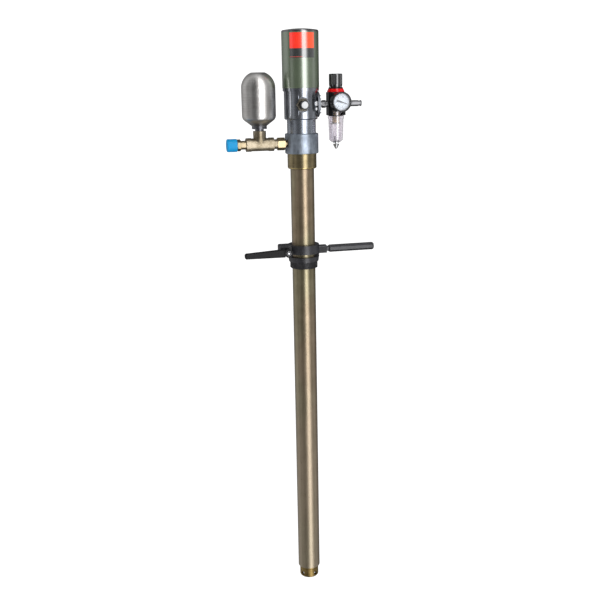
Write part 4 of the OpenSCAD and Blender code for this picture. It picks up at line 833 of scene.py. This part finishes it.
# Bowl: clear moulded polycarbonate screwed in the body, with the sintered element on its
# baffle inside and the push drain at its foot.
bowl_made = Finish("bowl_skin", transmission_weight=0.92, ior=1.5, coat_weight=1.0,
                   coat_ior=1.9, coat_roughness=0.05)
haze = bowl_made.place.noise((60, 60, 20), 3.0)
# The bowl's colour is painted dark grey where its walls are seen edge on: painted shade for the
# dark that the walls refract.
edge_on_painted_shade = bowl_made.place.add("ShaderNodeLayerWeight", None, {"Blend": 0.35}, 1)
clear = haze.rise(0.35, 0.65).blend((0.70, 0.655, 0.71), (0.84, 0.81, 0.85))
bowl_made.feed("Base Color", edge_on_painted_shade.rise(0.45, 0.95).blend(clear, (0.34, 0.31, 0.35)))
bowl_made.feed("Roughness", 0.03 + haze * 0.06)
bowl_made.relief(haze, 0.00002)
element_skin = skin("element_skin", (0.70, 0.42, 0.12), (0.48, 0.26, 0.06), (0.6, 0.8),
                    2200, 0.00015)
dress(bowl_made.material, "bowl")
dress(element_skin, "filter_element")
dress(ptfe_skin, "baffle")
dress(rubber_skin, "bowl_seal")
dress(steel_skin, "drain_bush", "drain_valve")
wound("drain_spring", regulator_x, wire=0.0007,
      open_turns=3)

# Floor and backdrop: a pale paper floor that turns up into a round wall far from the pump,
# laid so low that the pump's foot stays above it when the pump slides down its adapter.
slide_down = 0.112
floor_z = cad_box[0].z - slide_down
flat_r, border, bend_r, bend_steps, wall_h = 4.0, 0.5, 2.0, 8, 5.0
bpy.ops.mesh.primitive_circle_add(vertices=96, radius=flat_r, fill_type="NGON",
                                  location=(0, 0, floor_z))
sweep_paper = bpy.context.object
sweep_paper.name = "paper_sweep"
bpy.ops.object.transform_apply(location=True, rotation=True, scale=True)
bpy.ops.object.mode_set(mode="EDIT")
bpy.ops.mesh.select_all(action="SELECT")
bpy.ops.mesh.inset(thickness=border)
bpy.ops.mesh.select_mode(type="EDGE")
bpy.ops.mesh.select_all(action="SELECT")
bpy.ops.mesh.region_to_loop()
bend = [math.radians(90 * step / bend_steps) for step in range(bend_steps + 1)]
for before, after in zip(bend, bend[1:]):
    share = (flat_r + bend_r * math.sin(after)) / (flat_r + bend_r * math.sin(before))
    bpy.ops.mesh.extrude_region()
    bpy.ops.transform.resize(value=(share, share, 1), center_override=(0, 0, 0))
    bpy.ops.transform.translate(value=(0, 0, bend_r * (math.cos(before) - math.cos(after))))
bpy.ops.mesh.extrude_region()
bpy.ops.transform.translate(value=(0, 0, wall_h))
bpy.ops.object.mode_set(mode="OBJECT")
bpy.ops.object.shade_smooth()
paper = Finish("paper", roughness=0.9, specular_ior_level=0.0, emission_strength=0.90)
paper_tone = paper.place.noise(3, 2.0).rise(0.3, 0.7)
paper.feed("Base Color", paper_tone.blend((0.23, 0.23, 0.23), (0.25, 0.25, 0.25)))
paper.feed("Emission Color", paper_tone.blend((0.97, 0.97, 0.97), (1.0, 1.0, 1.0)))
sweep_paper.data.materials.append(paper.material)
sweep_paper.visible_glossy = False

# Soft studio light: a tall soft box to the right of the camera, and a room whose walls are
# painted in upright stripes, pale and dark, which the polished metal mirrors.
camera_turn = math.radians(-13.0)
back = Vector((math.sin(camera_turn), -math.cos(camera_turn), 0))
right = Vector((math.cos(camera_turn), math.sin(camera_turn), 0))
key_turn = math.radians(27)
key_way = back * math.cos(key_turn) + right * math.sin(key_turn)
key_distance, key_z, key_drop, key_w, key_h, key_watts = 2.4, 0.3, 0.4, 1.25, 3.2, 30
lamp = bpy.data.lights.new("key_box", "AREA")
lamp.shape, lamp.size, lamp.size_y, lamp.energy = "RECTANGLE", key_w, key_h, key_watts
key_box = bpy.data.objects.new("key_box", lamp)
key_box.location = key_way * key_distance + Vector((0, 0, key_z))
key_aim = -key_way * key_distance - Vector((0, 0, key_drop))
key_box.rotation_mode = "QUATERNION"
key_box.rotation_quaternion = key_aim.to_track_quat("-Z", "Y")
key_box.visible_camera = False
key_box.visible_glossy = False
bpy.context.scene.collection.objects.link(key_box)

# The stripes of the walls: degrees to the right of the camera, and how pale the wall is. The
# palest one is where the soft box stands.
walls = ((-180, 0.10), (-147, 0.22), (-129, 0.32), (-115, 0.50), (-103, 0.60),
         (-90, 0.55), (-80, 0.42), (-75, 0.12), (-69, 0.10), (-61, 0.42), (-52, 0.42),
         (-46, 0.20), (-36, 0.09), (-22, 0.07), (-12, 0.10), (-4, 0.18), (4, 0.30), (10, 0.80),
         (15, 4.2), (33, 4.2), (38, 2.4), (44, 0.9), (52, 0.30), (60, 0.24), (68, 0.33),
         (78, 0.34), (92, 0.66), (102, 0.34), (115, 0.18), (129, 0.08),
         (147, 0.05), (180, 0.10))
room = bpy.data.worlds.new("room")
bpy.context.scene.world = room
room.use_nodes = True
way = Wire(room.node_tree, room.node_tree.nodes.new("ShaderNodeTexCoord").outputs["Generated"])


def along(axis):
    """How far the look leans along a level direction."""
    return way.part("X") * axis.x + way.part("Y") * axis.y


turn = way.maths("ARCTAN2", along(right), along(back)) * (0.5 / math.pi) + 0.5
stripes = turn.add("ShaderNodeValToRGB", None, {"Fac": turn})
stops = stripes.socket.node.color_ramp.elements
for degrees, pale in walls:
    if abs(degrees) == 180:
        stop = stops[0] if degrees < 0 else stops[-1]
    else:
        stop = stops.new(degrees / 360 + 0.5)
    stop.color = (pale, pale, pale * 1.02, 1.0)
# The walls are brighter under the middle, dim at their foot, and meet a pale ceiling.
climb = way.part("Z")
dimmer_up = climb.rise(-0.45, 0.0)
dim_foot = 1 - climb.rise(-0.95, -0.62)
ceiling = climb.rise(0.90, 0.99)
level = 1.6 - dimmer_up * 0.6 - dim_foot * 1.3
painted = level.blend((0, 0, 0), stripes)
lit = ceiling.blend(painted, (0.80, 0.81, 0.84))
room.node_tree.links.new(lit.socket, room.node_tree.nodes["Background"].inputs["Color"])
bpy.context.scene.view_settings.view_transform = "Standard"

# Camera at the photograph's angle: 13 degrees to the left of the front, tilted down.
distance, eye_height = 1.779, 0.368
tilt, swing, roll = math.radians(14.4), math.radians(0.318), math.radians(-1.095)
lens = bpy.data.cameras.new("camera")
lens.lens, lens.sensor_width = 50.22, 36.0
camera = bpy.data.objects.new("camera", lens)
camera.location = back * distance + Vector((0, 0, eye_height))
aim = Quaternion((0, 0, 1), swing) @ (-back * math.cos(tilt) - Vector((0, 0, math.sin(tilt))))
camera.rotation_mode = "QUATERNION"
camera.rotation_quaternion = aim.to_track_quat("-Z", "Y") @ Quaternion((0, 0, 1), roll)
bpy.context.scene.collection.objects.link(camera)
bpy.context.scene.camera = camera
